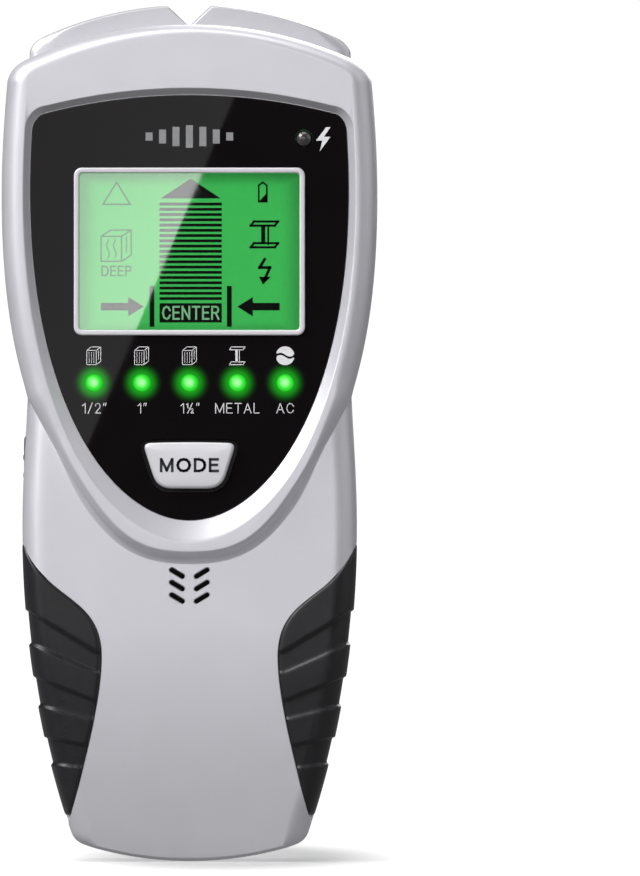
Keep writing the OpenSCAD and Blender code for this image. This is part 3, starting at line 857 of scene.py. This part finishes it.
def band_height(x, z):
    """The bands between the creases are sunk and raised by turns."""
    height, sign = 0.0, -1
    for (x0, z0), (x1, z1) in CREASES:
        share = min(1, max(0, (x0 - x) / (x0 - x1)))
        crease = z0 + (z1 - z0) * share
        height += sign * 0.5 * (1 - smoothstep(z, crease - 0.22, crease + 0.22))
        sign = -sign
    return height


def reach_in(edge, p, along, n):
    """How far the grip reaches in from a point on the handle's side, against its normal."""
    reach = 0.05
    for a, b in zip(edge, edge[1:]):
        fa, fb = (a - p).dot(along), (b - p).dot(along)
        if fa <= 0 <= fb and fb > fa:
            reach = max(reach, (p - a.lerp(b, fa / (fa - fb))).dot(n))
    return reach


def skin_at(p, n, s, side_run):
    """A place on the handle's skin and its outward direction, at a distance s along the skin
    from the seam: up the side, round the bow and in over the front."""
    bow = ROUNDING * math.pi / 2
    if s < side_run:
        return Vector((p.x, p.y, SEAM_D + s)), Vector((n.x, n.y, 0))
    if s < side_run + bow:
        a = (s - side_run) / ROUNDING
        q = p - n * ROUNDING * (1 - math.cos(a))
        return (Vector((q.x, q.y, SEAM_D + side_run + ROUNDING * math.sin(a))),
                Vector((n.x * math.cos(a), n.y * math.cos(a), math.sin(a))))
    q = p - n * (s - side_run - bow + ROUNDING)
    return Vector((q.x, q.y, HANDLE_D - bend(q.y))), Vector((0, 0, 1))


def slab(tops, floors, columns, side):
    """A thin solid between two grids of (x, z, d), on one side of the tool."""
    base = len(tops)
    quads = [(a, a + 1, a + columns + 1, a + columns) for a in range(base - columns)
             if (a + 1) % columns]
    rim = list(range(columns)) + list(range(2 * columns - 1, base, columns)) \
        + list(range(base - 2, base - columns - 1, -1)) \
        + list(range(base - 2 * columns, 0, -columns))
    faces = quads + [tuple(base + v for v in quad) for quad in quads]
    faces += [(a, b, base + b, base + a) for a, b in zip(rim, rim[1:] + rim[:1])]
    return [spot(side * v.x, v.y, v.z) for v in tops + floors], faces


def make_grip(name, side):
    """A soft grip that follows the handle's skin, with raised and sunk bands."""
    edge = bez(*GRIP_TOP, 60) + bez(*GRIP_FOOT, 60) + vectors(GRIP_FOOT[-1])
    outer = bez(*SIDE, 400)
    rows, columns = 230, 56
    top_z, foot_z, ease = 59.6, 8.4, 0.9
    tops, floors = [], []
    for i in range(rows):
        z = top_z + (foot_z - top_z) * i / (rows - 1)
        k = min(range(1, len(outer) - 1), key=lambda j: abs(outer[j].y - z))
        p = outer[k]
        along = (outer[k + 1] - outer[k - 1]).normalized()
        n = Vector((-along.y, along.x))
        reach = reach_in(edge, p, along, n)
        side_run = HANDLE_D - ROUNDING - bend(z) - SEAM_D
        if reach > ROUNDING:
            total = side_run + ROUNDING * math.pi / 2 + reach - ROUNDING
        else:
            total = side_run + ROUNDING * math.acos(1 - reach / ROUNDING)
        for j in range(columns):
            s = total * j / (columns - 1)
            at, out = skin_at(p, n, s, side_run)
            border = min(total - s, top_z - z, z - foot_z, s + 0.35)
            fall = 0 if border > ease else 1 - math.sqrt(max(0, 1 - (1 - border / ease) ** 2))
            tops.append(at + out * (0.06 + band_height(at.x, at.y) - 0.55 * fall))
            floors.append(at - out * (GRIP_T - 0.02))
    grip = model(name, [slab(tops, floors, columns, side)])
    settle(grip, RUBBER, stands_for=name, sharp=60)


# ---- display ----


def make_panel():
    shape = inset(LENS_RING, 0.08)
    panel = model("display_panel", [stack([(shape, PLATE_D), (shape, LENS_D - 0.12),
                                           (inset(LENS_RING, 0.2), LENS_D)])])
    middle = (0, DISPLAY_Z)
    openings = [round_rect(middle, 41, 29.2, 0.7), mode_outline(0.3)] \
        + [circle(at, 1.67, 40) for at in LAMPS + [WARN]]
    carve(panel, lay(openings, PLATE_D - 1, LENS_D + 1))
    carve(panel, [prism(round_rect(middle, 43.1, 31.3, 1.55), LENS_D - 0.6, LENS_D + 1)])
    settle(panel, PANEL, stands_for="display_lens")
    pane = prism(round_rect(middle, 40.9, 29.1, 0.65), LENS_D - 0.55, LENS_D - 0.25)
    settle(model("display_window", [pane]), window_finish())


def make_trim():
    middle = (0, DISPLAY_Z)
    section = ((0, -0.6), (0, 0.12), (0.05, 0.24), (0.16, 0.33), (0.3, 0.35), (0.72, 0.35),
               (0.86, 0.31), (0.95, 0.2), (1, 0.05), (1, -0.6))
    rows = [(round_rect(middle, 43 - 2 * w, 31.2 - 2 * w, 1.5 - 0.8 * w), LENS_D + d)
            for w, d in section]
    settle(model("display_frame", [hoop(rows)]), trim_finish(), stands_for="display_trim")


def bolt(x, z, h):
    """A lightning bolt with its middle at a place, as one outline."""
    shape = [(0.12, 0.5), (-0.3, -0.06), (-0.04, -0.06), (-0.14, -0.5), (0.3, 0.1), (0.03, 0.1),
             (0.3, 0.5)]
    return [[Vector((x + h * u, z + h * v)) for u, v in shape]]


def bolt_arrow(x, z, h):
    """A bolt that ends in an arrow head."""
    shaft, head = [[(x + h * u, z + h * v) for u, v in shape] for shape in (
        ((0.02, 0.46), (-0.17, 0.15), (0.22, 0.15), (0.02, -0.3)),
        ((-0.2, -0.2), (0.26, -0.2), (-0.04, -0.5)))]
    return stroke(shaft, 0.11 * h) + [vectors(*head)]


def timber(x, z, w, h, line, grain=2, sway=0.05):
    """A block of timber in outline, seen a little from above and from the right."""
    face_w, face_h = w * 0.68, h * 0.8
    x0, z0 = x - w / 2, z - h / 2
    x1, z1 = x0 + face_w, z0 + face_h
    dx, dz = w - face_w, h - face_h
    bars = stroke([(x0, z0), (x1, z0), (x1, z1), (x0, z1)], line, closed=True)
    bars += stroke([(x0, z1), (x0 + dx, z1 + dz), (x1 + dx, z1 + dz), (x1, z1)], line)
    bars += stroke([(x1 + dx, z1 + dz), (x1 + dx, z0 + dz), (x1, z0)], line)
    for k in range(grain):
        middle = x0 + face_w * (k + 1) / (grain + 1)
        wave = [(middle + sway * w * math.sin(2.2 * math.pi * t / 6),
                 z0 + face_h * (0.14 + 0.12 * t))
                for t in range(7)]
        bars += stroke(wave, line * 0.8)
    return bars + stroke([(x1 + dx / 2, z0 + dz + h * 0.1), (x1 + dx / 2, z1 - h * 0.02)],
                         line * 0.8)


def beam(x, z, w, h, line):
    """A steel beam, with its flanges seen from above."""
    lean, flange = w * 0.12, h * 0.16
    bars = []
    for low in (z + h / 2 - flange, z - h / 2):
        bars += stroke([(x - w / 2, low), (x + w / 2 - lean, low),
                        (x + w / 2, low + flange), (x - w / 2 + lean, low + flange)],
                       line, closed=True)
    low, high = z - h / 2 + flange * 0.8, z + h / 2 - flange
    bars.append(rect((x - w * 0.12, x + w * 0.03), (low, high)))
    return bars + stroke([(x + w * 0.14, low), (x + w * 0.14, high)], line * 0.8)


def current_sign(x, z, r):
    """A disc that a wave parts in two."""
    wave = vectors(*((x + r * t / 8, z - 0.2 * r * math.sin(math.pi * t / 8))
                     for t in range(-7, 8)))
    return [[p + Vector((0, 0.12 * r * turn)) for p in wave]
            + arc((x, z), r, 14 * turn, 167 * turn, 16) for turn in (1, -1)]


def arrow(x_tail, x_tip, z):
    turn = 1 if x_tip > x_tail else -1
    base = x_tip - turn * 2.9
    return [rect(sorted((x_tail, base)), (z - 0.7, z + 0.7)),
            vectors((base, z - 1.8), (x_tip, z), (base, z + 1.8))]


def make_picture():
    """What the display shows: dark segments, faint segments and the green behind them."""
    d = PICTURE_D
    plate = model("lcd_picture", [prism(rect((-20.8, 20.8), (DISPLAY_Z - 14.9, DISPLAY_Z + 14.9)),
                                        d, d + 0.03)])
    settle(plate, picture_finish())
    z = DISPLAY_Z
    mid, half = 0.22, 5.8
    dark = [vectors((mid - half + 0.2, z + 9.9), (mid, z + 13.6), (mid + half - 0.2, z + 9.9))]
    dark += [rect((mid - half, mid + half), (z + 8.57 - 0.977 * i, z + 9.12 - 0.977 * i))
             for i in range(19)]
    dark += [rect((s + mid - 0.45, s + mid + 0.45), (z - 14, z - 6.4)) for s in (-7.2, 7.2)]
    dark += arrow(-16.5, -8.5, z - 10.25) + arrow(16.8, 8.9, z - 10.25)
    dark += [rect((mid - half, mid + half), (z - 13.2, z - 9.6))]
    dark += beam(13.95, z + 3.2, 5.1, 4.8, 0.42) + bolt_arrow(13.9, z - 3.7, 4.9)
    foot = [(12.9, z + 9.3), (14.4, z + 9.3)]
    cell = foot + [(14.4, z + 12.3), (13.65, z + 12.9), (12.9, z + 12.3)]
    dark += stroke(cell, 0.32, closed=True) + [vectors(*foot, (14.4, z + 10.9))]
    settle(model("lcd_dark_marks", lay(dark, d + 0.06, d + 0.1)), LCD_BLACK)
    faint = timber(-13.65, z + 1.1, 5.6, 5.8, 0.24) \
        + stroke([(-16.1, z + 8.8), (-13.55, z + 12.9), (-11.05, z + 8.8)], 0.26, closed=True) \
        + word("DEEP", -13.6, z - 3.6, 1.95, 0.24, 5.6)
    settle(model("lcd_faint_marks", lay(faint, d + 0.06, d + 0.09)), LCD_GHOST)
    name = lay(word("CENTER", mid, z - 11.4, 2.6, 0.34, 10.7), d + 0.12, d + 0.15)
    settle(model("lcd_word", name), ink_finish("lcd_word", srgb(120, 176, 132), 0.75))


LETTER_PATHS = {
    "1": [[(0.1, 0.75), (0.38, 1), (0.38, 0)]],
    "2": [[(0.02, 0.74), (0.1, 0.93), (0.28, 1), (0.46, 0.93), (0.54, 0.74), (0.46, 0.52),
           (0.02, 0), (0.56, 0)]],
    "/": [[(0, -0.04), (0.42, 1.04)]],
    '"': [[(0.06, 1.02), (0.02, 0.78)], [(0.26, 1.02), (0.22, 0.78)]],
    "M": [[(0, 0), (0, 1)], [(0.05, 0.93), (0.42, 0.06)], [(0.42, 0.06), (0.79, 0.93)],
          [(0.84, 1), (0.84, 0)]],
    "O": [[(0.45, 1), (0.68, 0.94), (0.84, 0.75), (0.9, 0.5), (0.84, 0.25), (0.68, 0.06),
           (0.45, 0), (0.22, 0.06), (0.06, 0.25), (0, 0.5), (0.06, 0.75), (0.22, 0.94), (0.45, 1)]],
    "D": [[(0, 0), (0, 1), (0.3, 1), (0.54, 0.92), (0.69, 0.73), (0.73, 0.5), (0.69, 0.27),
           (0.54, 0.08), (0.3, 0), (0, 0)]],
    "E": [[(0.56, 1), (0, 1), (0, 0), (0.56, 0)], [(0, 0.52), (0.5, 0.52)]],
    "P": [[(0, 0), (0, 1), (0.36, 1), (0.54, 0.92), (0.6, 0.74), (0.54, 0.56), (0.36, 0.48),
           (0, 0.48)]],
    "R": [[(0, 0), (0, 1), (0.38, 1), (0.56, 0.92), (0.62, 0.75), (0.56, 0.58), (0.38, 0.5),
           (0, 0.5)], [(0.36, 0.5), (0.64, 0)]],
    "N": [[(0, 0), (0, 1)], [(0.04, 0.94), (0.64, 0.06)], [(0.68, 0), (0.68, 1)]],
    "T": [[(0, 1), (0.66, 1)], [(0.33, 1), (0.33, 0)]],
    "A": [[(0, 0), (0.36, 1), (0.72, 0)], [(0.13, 0.34), (0.59, 0.34)]],
    "L": [[(0, 1), (0, 0), (0.5, 0)]],
    "C": [[(0.7, 0.72), (0.56, 0.93), (0.36, 1), (0.13, 0.88), (0, 0.5), (0.13, 0.12), (0.36, 0),
           (0.56, 0.07), (0.7, 0.28)]],
    "h": [[(0, 0.88), (0.14, 1), (0.14, 0.52)], [(0.12, 0), (0.6, 1)],
          [(0.46, 0.36), (0.54, 0.46), (0.66, 0.42), (0.67, 0.3), (0.46, 0), (0.72, 0)]]}


def word(text, x, z, height, line=0.16, width=None):
    """A word in strokes with its middle at (x, z); h stands for a small one half."""
    size, gap = height - line, 0.22 + line / height
    pen, paths = 0.0, []
    for letter in text:
        shapes = LETTER_PATHS[letter]
        paths += [[(pen + u, v) for u, v in shape] for shape in shapes]
        pen += max(u for shape in shapes for u, _ in shape) + gap
    across = (width - line) / (pen - gap) if width else size
    bars = []
    for path in paths:
        bars += stroke([(x + (u - (pen - gap) / 2) * across, z + (v - 0.5) * size)
                        for u, v in path], line)
    return bars


def make_prints():
    """Marks printed on the panel: a row of bars, the lamps' signs and their names."""
    d = LENS_D
    bars = [rect((2.5 * i - 0.65, 2.5 * i + 0.65), (135.1 - h, 135.1 + h))
            for i, h in zip(range(-3, 4), (0.75, 1.3, 1.8, 2.1, 1.8, 1.3, 0.75))]
    settle(model("panel_bars", lay(bars, d, d + 0.02)), GREY_INK)
    signs = bolt(WARN[0] + 3.6, WARN[1] - 0.1, 4.5)
    for x, _ in LAMPS[:3]:
        signs += timber(x, LAMP_Z + 5, 2.6, 3.3, 0.13, 3, 0)
    signs += beam(LAMPS[3][0], LAMP_Z + 5, 2.9, 3.3, 0.16)
    signs += current_sign(LAMPS[4][0], LAMP_Z + 5, 1.75)
    for text, (x, _) in zip(('1/2"', '1"', '1h"', "METAL", "AC"), LAMPS):
        signs += word(text, x, LAMP_Z - 4.75, 1.95)
    settle(model("panel_signs", lay(signs, d, d + 0.02)), WHITE_INK)


def make_lamps():
    def dome(at, r=1.63):
        base = depth_span("warning_lamp")[0]
        turn = [(r * math.cos(math.radians(a)), LENS_D - 1 + r * math.sin(math.radians(a)))
                for a in range(0, 85, 12)]
        return turned(at, [(r, base)] + turn)
    settle(model("lit_lamps", [dome(at) for at in LAMPS]), lamp_finish(),
           stands_for="scale_lamps")
    settle(model("unlit_lamp", [dome(WARN)]), plain("dark_lamp", srgb(50, 47, 48), 0.25, 0, 0.3,
           0.002, Coat_Weight=0.5), stands_for="warning_lamp")


# ---- buttons ----


def make_mode_button():
    flange_d = PLATE_IN_D - 1
    rows = [(0.35, flange_d), (0.35, BUTTON_D - 0.75), (0.41, BUTTON_D - 0.42),
            (0.55, BUTTON_D - 0.18), (0.75, BUTTON_D - 0.05), (1, BUTTON_D)]
    outlines = [(mode_outline(-w), d) for w, d in rows]
    middle = Vector((0, MODE_Z + 0.4))
    outlines += [([middle.lerp(p, share) for p in outlines[-1][0]], BUTTON_D + rise)
                 for share, rise in ((0.75, 0.03), (0.5, 0.05))]
    button = model("mode_key", [stack(outlines)])
    weld(button, [prism(mode_outline(0.9), flange_d, flange_d + 0.7)])
    weld(button, [turned((0, MODE_Z), [(2, 24.6), (2, flange_d + 0.5)])])
    settle(button, button_finish(), "mode_key", "mode_button")
    name = lay(word("MODE", 0, 73.95, 2.65, 0.5, 11), BUTTON_D + 0.055, BUTTON_D + 0.085)
    settle(model("mode_word", name), DARK_INK, "mode_key")


def make_scan_button():
    """The side button: a stadium with three finger ridges."""
    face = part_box("scan_button")[0].x / MM
    rows = [(0, -27.7), (0, face + 0.8), (-0.12, face + 0.45), (-0.4, face + 0.22),
            (-0.8, face + 0.15)]
    button = model("scan_key", [stack([(scan_outline(g), x) for g, x in rows], sideways)])
    ridges = [stack([(slot_outline((SCAN_D - 1.3, SCAN_Z + z), (SCAN_D + 1.3, SCAN_Z + z), r), x)
                     for r, x in ((0.55, face + 0.5), (0.5, face + 0.1), (0.3, face))], sideways)
              for z in (-3.4, 0, 3.4)]
    weld(button, ridges)
    weld(button, [prism(scan_outline(0.9), -28.6, -27.7, sideways)])
    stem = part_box("scan_plunger")[0].x / MM
    weld(button, [turned((SCAN_D - 1.5, SCAN_Z), [(2, -28), (2, stem)], sideways)])
    settle(button, side_button_finish(), "scan_key", "scan_button")


# ---- back ----


def nose_ring():
    """The nose's outline, with a notch in the middle of its top."""
    notch = vectors((0, 156.4), (0.35, 156.6), (3.75, 159.8), (4.25, 159.95))
    return ring(notch + arc((0, 94.1), 66, 85.6, 65.8, 14)
                + bez((27.1, 154.3), (29.1, 153.3), (30.1, 152.4), (30.1, 150.4), 8)
                + vectors((30.1, 146), (0, 146)))


def nose_solid():
    """The nose plate, with a fine edge along the top and rounded ends."""
    nose = nose_ring()
    rows = [(inset(nose, 0.8), BACK_D), (inset(nose, 0.3), BACK_D + 0.25), (nose, BACK_D + 0.9)]
    for inward, fall in quarter(15):
        rows.append(([p - n * (0.5 + 2.2 * smoothstep(abs(p.x), 23, 29)) * inward
                      for p, n in zip(nose, normals(nose))], SEAM_D - 1.6 * fall))
    return stack(rows)


def hinge_pin(profile, n=40):
    return turned((HINGE_D, HINGE_Z), profile, sideways, n)


def make_rear_shell():
    """The rear half of the case with its nose, battery bay, hinge ears and pockets."""
    edge = [p - n * 0.5 * smoothstep(p.y, 14, 18) * (1 - smoothstep(p.y, 60, 65))
            for p, n in zip(CASE_RING, normals(CASE_RING))]
    inside_d = BACK_D + WALL
    rows = [row_at(inset(edge, 2.2 * fall), BACK_D + 2.6 * inward) for inward, fall in quarter(9)]
    rows += [row_at(edge, SEAM_D - 0.25), row_at(inset(edge, 0.22), SEAM_D)]
    shell = model("rear_shell", [loft(rows)])
    weld(shell, [nose_solid()])
    carve(shell, [prism(shrink(CASE_RING, WALL), inside_d, SEAM_D + 1)])
    weld(shell, [box((-17, 17), (6.2, 67.8), (inside_d - 0.4, 5))])
    weld(shell, [box((-15.6, 15.6), (10.7, 67.6), (4, 22.3))])
    weld(shell, posts(CASE_SCREWS, 3.2, inside_d - 0.4, SEAM_D))
    weld(shell, posts([(21, 144), (19, 76)], 1.4, inside_d - 0.4, 4))
    carve(shell, [box((-14.2, 14.2), (12, 66.3), (inside_d, 21.3))])
    across = (-DOOR_HALF - 0.3, DOOR_HALF + 0.3)
    opening = model("opening", [box(across, (HINGE_Z + 1, DOOR_TOP + 0.3), (0, 2.7))])
    weld(opening, [box(across, (HINGE_Z - 2.1, 12), (0, 4))])
    carve(shell, opening)
    ears = model("ears", both([hinge_pin([(1.4, 10.3), (1.4, 12.8)])]))
    weld(ears, both([box((10.3, 12.8), (HINGE_Z - 1.2, HINGE_Z + 1.2), (HINGE_D, 5))]))
    weld(shell, ears)
    carve(shell, [hinge_pin([(0.85, -12), (0.85, 12)], 24)])
    carve(shell, [turned((-1.6, DOOR_TOP + 1.2), [(3.2, -7.4), (3.2, 7.4)], sideways, 48)])
    carve(shell, [box((-8, 8), (65.3, 68.3), (12, 16))])
    carve(shell, both([turned(at, [(3.1, 0), (3.1, BACK_D + 0.05), (2.8, BACK_D + 0.35), (2.8, 4.4)],
                              n=32) for at in CASE_SCREWS])
          + [prism(slot_outline((-17.2, z), (17.2, z), 3.2), 0, 1.2) for z in PAD_ROWS])
    carve(shell, posts(CASE_SCREWS, 1.5, 4, SEAM_D + 1))
    settle(shell, rear_finish(), stands_for="rear_case")


def make_door():
    """The battery door: plate, snap tongue, finger ridges, hinge knuckle and pins."""
    plate_z = HINGE_Z + 1.7
    corners = rect((-DOOR_HALF, DOOR_HALF), (plate_z, DOOR_TOP))
    door = model("door_plate", [prism(rounded(corners, [0.6, 0.6, 1.2, 1.2]), 0.4, 2.4)])
    carve(door, both([prism(slot_outline((8, 48.6), (8, DOOR_TOP + 2), 0.6), -1, 5)]))
    soften(door, 0.22)
    weld(door, [box((-10, 10), (HINGE_Z, plate_z + 1), (HINGE_D - 1.4, 2.4))])
    weld(door, [hinge_pin([(1.4, -10), (1.4, 10)])])
    weld(door, [hinge_pin([(0.65, -11.6), (0.8, -11.4), (0.8, 11.4), (0.65, 11.6)], 24)])
    ridges = [stack([(slot_outline((-5.6, z), (5.6, z), r), d)
                     for r, d in ((0.5, 0.8), (0.45, 0.25), (0.3, 0.15))])
              for z in (52.5, 54.9, 57.3, 59.7)]
    weld(door, ridges)
    settle(door, SHELL, "door", "battery_door")
    pad = prism(rounded(rect((-9, 9), (24, 46)), [1] * 4), 2.4, 3.4)
    settle(model("door_pad", [pad]), foam_finish(), "door", "door_foam")


def make_screws():
    """Six cross-head screws."""
    profile = [(1.9, 2.4), (2.4, 2.55), (2.6, 2.9), (2.6, 4.4), (1.15, 4.4), (1.15, 18.4),
               (0.4, 19)]
    screws = model("cross_screws", both([turned(at, profile, n=32) for at in CASE_SCREWS]))
    for w, h in ((0.28, 1.5), (1.5, 0.28)):
        carve(screws, both([stack([(rect((x - w * k, x + w * k), (z - h * k, z + h * k)), d)
                                   for k, d in ((1, 2.0), (0.5, 3.9))]) for x, z in CASE_SCREWS]))
    settle(screws, STEEL, stands_for="case_screws")


def make_pads():
    pads = [stack([(slot_outline((-17, z), (17, z), r), d)
                   for r, d in ((2.75, 0), (2.92, 0.08), (3, 0.25), (3, 1.2))]) for z in PAD_ROWS]
    settle(model("felt_pads", pads), felt_finish(), stands_for="glide_pads")


def make_battery():
    low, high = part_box("battery")
    x, d = centre("battery")[0], sum(depth_span("battery")) / 2
    z0, z1 = low.z / MM, high.z / MM
    w, t = (high.x - low.x) / MM, (high.y - low.y) / MM
    section = [(0.7, 0.35), (0.25, 0), (0, 0.3), (0, 1.0), (0.22, 1.3), (0.22, 1.6)]
    rows = [(g, z0 + z) for g, z in section] + [(g, z1 - z) for g, z in reversed(section)]
    jacket = model("nine_volt_block", [stack([(round_rect((x, d), w - 2 * g, t - 2 * g, 2.2 - g), z)
                                              for g, z in rows], upright)])
    settle(jacket, battery_finish(), stands_for="battery")


# ---- materials of the CAD nodes that stay ----


def finish_nodes():
    chip = plain("chip_epoxy", srgb(30, 30, 33), 0.55, 0, 0.1, 0.006)
    brass = plain("gold_plating", srgb(212, 170, 82), 0.25, 1, 0.1, 0.002)
    milky = plain("light_guide", srgb(232, 236, 232), 0.35, 0, 0.5, 0.002, 0.02,
                  Subsurface_Weight=0.1)
    glass = plain("lcd_glass", srgb(120, 150, 124), 0.08, 0, 2, 0.001, 0.03)
    finishes = {
        "mode_plunger": NYLON, "scan_plunger": NYLON, "lamp_baffle": NYLON, "coil_bobbin": NYLON,
        "link_header": NYLON, "battery_snap": NYLON, "board_screws": STEEL,
        "main_board": board_finish(), "sensor_board": board_finish(), "lcd_glass": glass,
        "backlight": milky, "lcd_holder": plain("white_frame", srgb(222, 222, 216), 0.5),
        "contact_strips": strip_finish(), "mode_switch": plain("switch_grey", srgb(84, 84, 88), 0.5),
        "scan_switch": plain("switch_grey_side", srgb(84, 84, 88), 0.5),
        # The buzzer's near-black is partly its dark cover and partly painted shade for the speaker
        # slots it is seen through.
        "buzzer": plain("buzzer_black_and_shade", srgb(8, 8, 8), 0.85, Specular_IOR_Level=0.05),
        "sense_plates": plain("copper_plate", srgb(196, 116, 62), 0.3, 0.9, 0.3, 0.004),
        "detector_coil": winding_finish(),
        "ferrite_core": plain("ferrite", srgb(62, 62, 66), 0.65, 0.1, 0.2, 0.02),
        "link_pins": brass, "controller_chip": chip, "amplifier_chip": chip,
        "chip_resistors": chip, "crystal": STEEL,
        "capacitors": plain("capacitor_sleeve", srgb(38, 50, 84), 0.35),
        "battery_studs": plain("nickel", srgb(190, 188, 182), 0.22, 1, 0.1, 0.002),
        "lead_red": plain("red_lead", srgb(190, 30, 28), 0.4),
        "lead_black": plain("black_lead", srgb(26, 26, 28), 0.4)}
    for name, material in finishes.items():
        paint(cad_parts[name], material)


# ---- studio ----


def sheet(name, corners, f):
    """A flat four-sided piece of the studio."""
    mesh = bpy.data.meshes.new(name)
    mesh.from_pydata(corners, [], [(0, 1, 2, 3)])
    mesh.materials.append(f.material)
    made = set_down(name, mesh)
    return made


def floor_finish():
    """A pale floor with a painted soft shade round the foot. It looks white, but throws only a
    little light back on the object."""
    shade_at = (0.007, cad_box[0][1] + 0.045, 0)
    shade_radii = (0.026, 0.09)
    f = Finish("floor_white", Specular_IOR_Level=0)
    f.mottle((0.9, 0.9, 0.9, 1), 300, 0.005)
    f.set(Roughness=1.0)
    shaped = f.vector("MULTIPLY", f.vector("SUBTRACT", f.place, shade_at),
                      (1 / shade_radii[0], 1 / shade_radii[1], 0))
    away = f.vector("LENGTH", shaped, output="Value")
    shown = f.emission(f.span(away, 0.6, 1.35, 0.38, 0.86, "SMOOTHSTEP"))
    bright = f.node("ShaderNodeAddShader", {0: f.shader.outputs[0], 1: shown.outputs[0]})
    reach = f.vector("LENGTH", f.place, output="Value")
    dim = f.emission(f.span(reach, 0.6, 1.2, 0.3, 0))
    seen = f.node("ShaderNodeLightPath").outputs["Is Camera Ray"]
    f.show(f.node("ShaderNodeMixShader", {0: seen, 1: dim.outputs[0], 2: bright.outputs[0]}))
    return f


def make_floor():
    size = 12
    corners = [(-size, -size, 0), (size, -size, 0), (size, size, 0), (-size, size, 0)]
    return sheet("floor", corners, floor_finish())


def make_world():
    """White where the camera sees it, dim where the object is lit by it."""
    shown_power, felt_power = 1.05, 0.05
    world = bpy.data.worlds.new("studio")
    bpy.context.scene.world = world
    world.use_nodes = True
    tree = world.node_tree
    tree.nodes.clear()
    rays = add_node(tree, "ShaderNodeLightPath").outputs
    shown = add_node(tree, "ShaderNodeBackground", {"Color": (1, 1, 1, 1), "Strength": shown_power})
    power = add_node(tree, "ShaderNodeMath", {0: rays["Is Diffuse Ray"], 1: felt_power},
                     operation="MULTIPLY")
    felt = add_node(tree, "ShaderNodeBackground", {"Color": (0.95, 0.97, 1, 1),
                                                   "Strength": power.outputs[0]})
    mix = add_node(tree, "ShaderNodeMixShader", {0: rays["Is Camera Ray"], 1: felt.outputs[0],
                                                 2: shown.outputs[0]})
    add_node(tree, "ShaderNodeOutputWorld", {"Surface": mix.outputs[0]})


# Each light's name, place, width and height, power, and whether the front shell shades it.
LIGHTS = [
    ("key", (-1.0, -0.6, 1.15), (0.9, 0.9), 35, False),
    ("front", (-0.2, -2.2, 0.5), (1.6, 0.6), 10.4, False),
    ("low_left", (-1.5, -1.4, 0.4), (0.8, 0.7), 6, False),
    ("top", (0.0, -0.15, 1.6), (1.0, 0.8), 9.0, False),
    ("right", (2.0, -0.5, 0.8), (2.4, 2.2), 17, False),
    ("back", (0.7, 1.7, 1.0), (1.4, 1.2), 34, True)]
SUN_POWER = 0.65
SUN_WAY = (0.15, 0.1, -1)
AIM = Vector((0, 0, 0.08))


def lamp(name, kind, power, way, lit):
    """A light that shines along a way, on the things in one group."""
    light = bpy.data.lights.new(name, kind)
    light.energy = power
    holder = set_down(name, light)
    holder.rotation_euler = way.to_track_quat("-Z", "Y").to_euler()
    holder.light_linking.receiver_collection = lit
    return holder


def only(thing, state):
    """A group that stands for one thing alone, or for all but that thing."""
    group = bpy.data.collections.new(thing.name + "_" + state.lower())
    group.objects.link(thing)
    group.collection_objects[0].light_linking.link_state = state
    return group


def make_lights(floor):
    """Soft lights for the object, and a sun that only draws its soft shadow on the floor. The
    front shell casts no shadow in most of them, so that the head throws none on the handle."""
    lit = only(floor, "EXCLUDE")
    shaded = only(bpy.data.objects["front_shell"], "EXCLUDE")
    for name, at, size, power, front_shades in LIGHTS:
        holder = lamp(name, "AREA", power, AIM - Vector(at), lit)
        holder.location = at
        holder.data.shape = "RECTANGLE"
        holder.data.size, holder.data.size_y = size
        holder.visible_camera = False
        if not front_shades:
            holder.light_linking.blocker_collection = shaded
    sun = lamp("sun", "SUN", SUN_POWER, Vector(SUN_WAY), only(floor, "INCLUDE"))
    sun.data.angle = math.radians(40)
    gloss_card()


def gloss_card():
    """A card beside the camera, whose slanting edge the glossy panel mirrors; its light fades
    away from that edge."""
    y = cad_box[0][1] - 2.95
    width, fade, bright, faint = 0.35, 0.16, 1.1, 0.5
    edge_top, edge_foot = vectors((-0.0069, 0.206), (-0.0623, 0.0744))
    along = (edge_top - edge_foot).normalized()
    out = Vector((-along.y, along.x))
    foot, top = edge_foot - along * 0.4, edge_top + along * 0.5
    corners = [(p.x, y, p.y) for p in (foot, top, top + out * width, foot + out * width)]
    f = Finish("card_glow")
    across = f.vector("DOT_PRODUCT", f.place, (out.x, 0, out.y), "Value")
    start = edge_foot.dot(out)
    f.show(f.emission(f.span(across, start, start + fade, bright, faint)))
    card = sheet("card", corners, f)
    card.visible_camera = False
    card.visible_shadow = False


def make_camera():
    """A long lens, level with the middle of the tool and a little to its right."""
    camera = bpy.data.cameras.new("camera")
    camera.sensor_width = 36
    camera.lens = 663
    camera.clip_end = 60
    holder = set_down("camera", camera)
    holder.location = (0.0243, cad_box[0][1] - 3, 0.079)
    holder.rotation_euler = (math.radians(90), 0, 0)
    bpy.context.scene.camera = holder


RUBBER = rubber_finish()
make_front_shell()
make_rear_shell()
make_grip("grip_left", -1)
make_grip("grip_right", 1)
make_panel()
make_trim()
make_picture()
make_prints()
make_lamps()
make_mode_button()
make_scan_button()
make_door()
make_screws()
make_pads()
make_battery()
finish_nodes()
make_world()
make_lights(make_floor())
make_camera()
bpy.context.scene.view_settings.view_transform = "Standard"
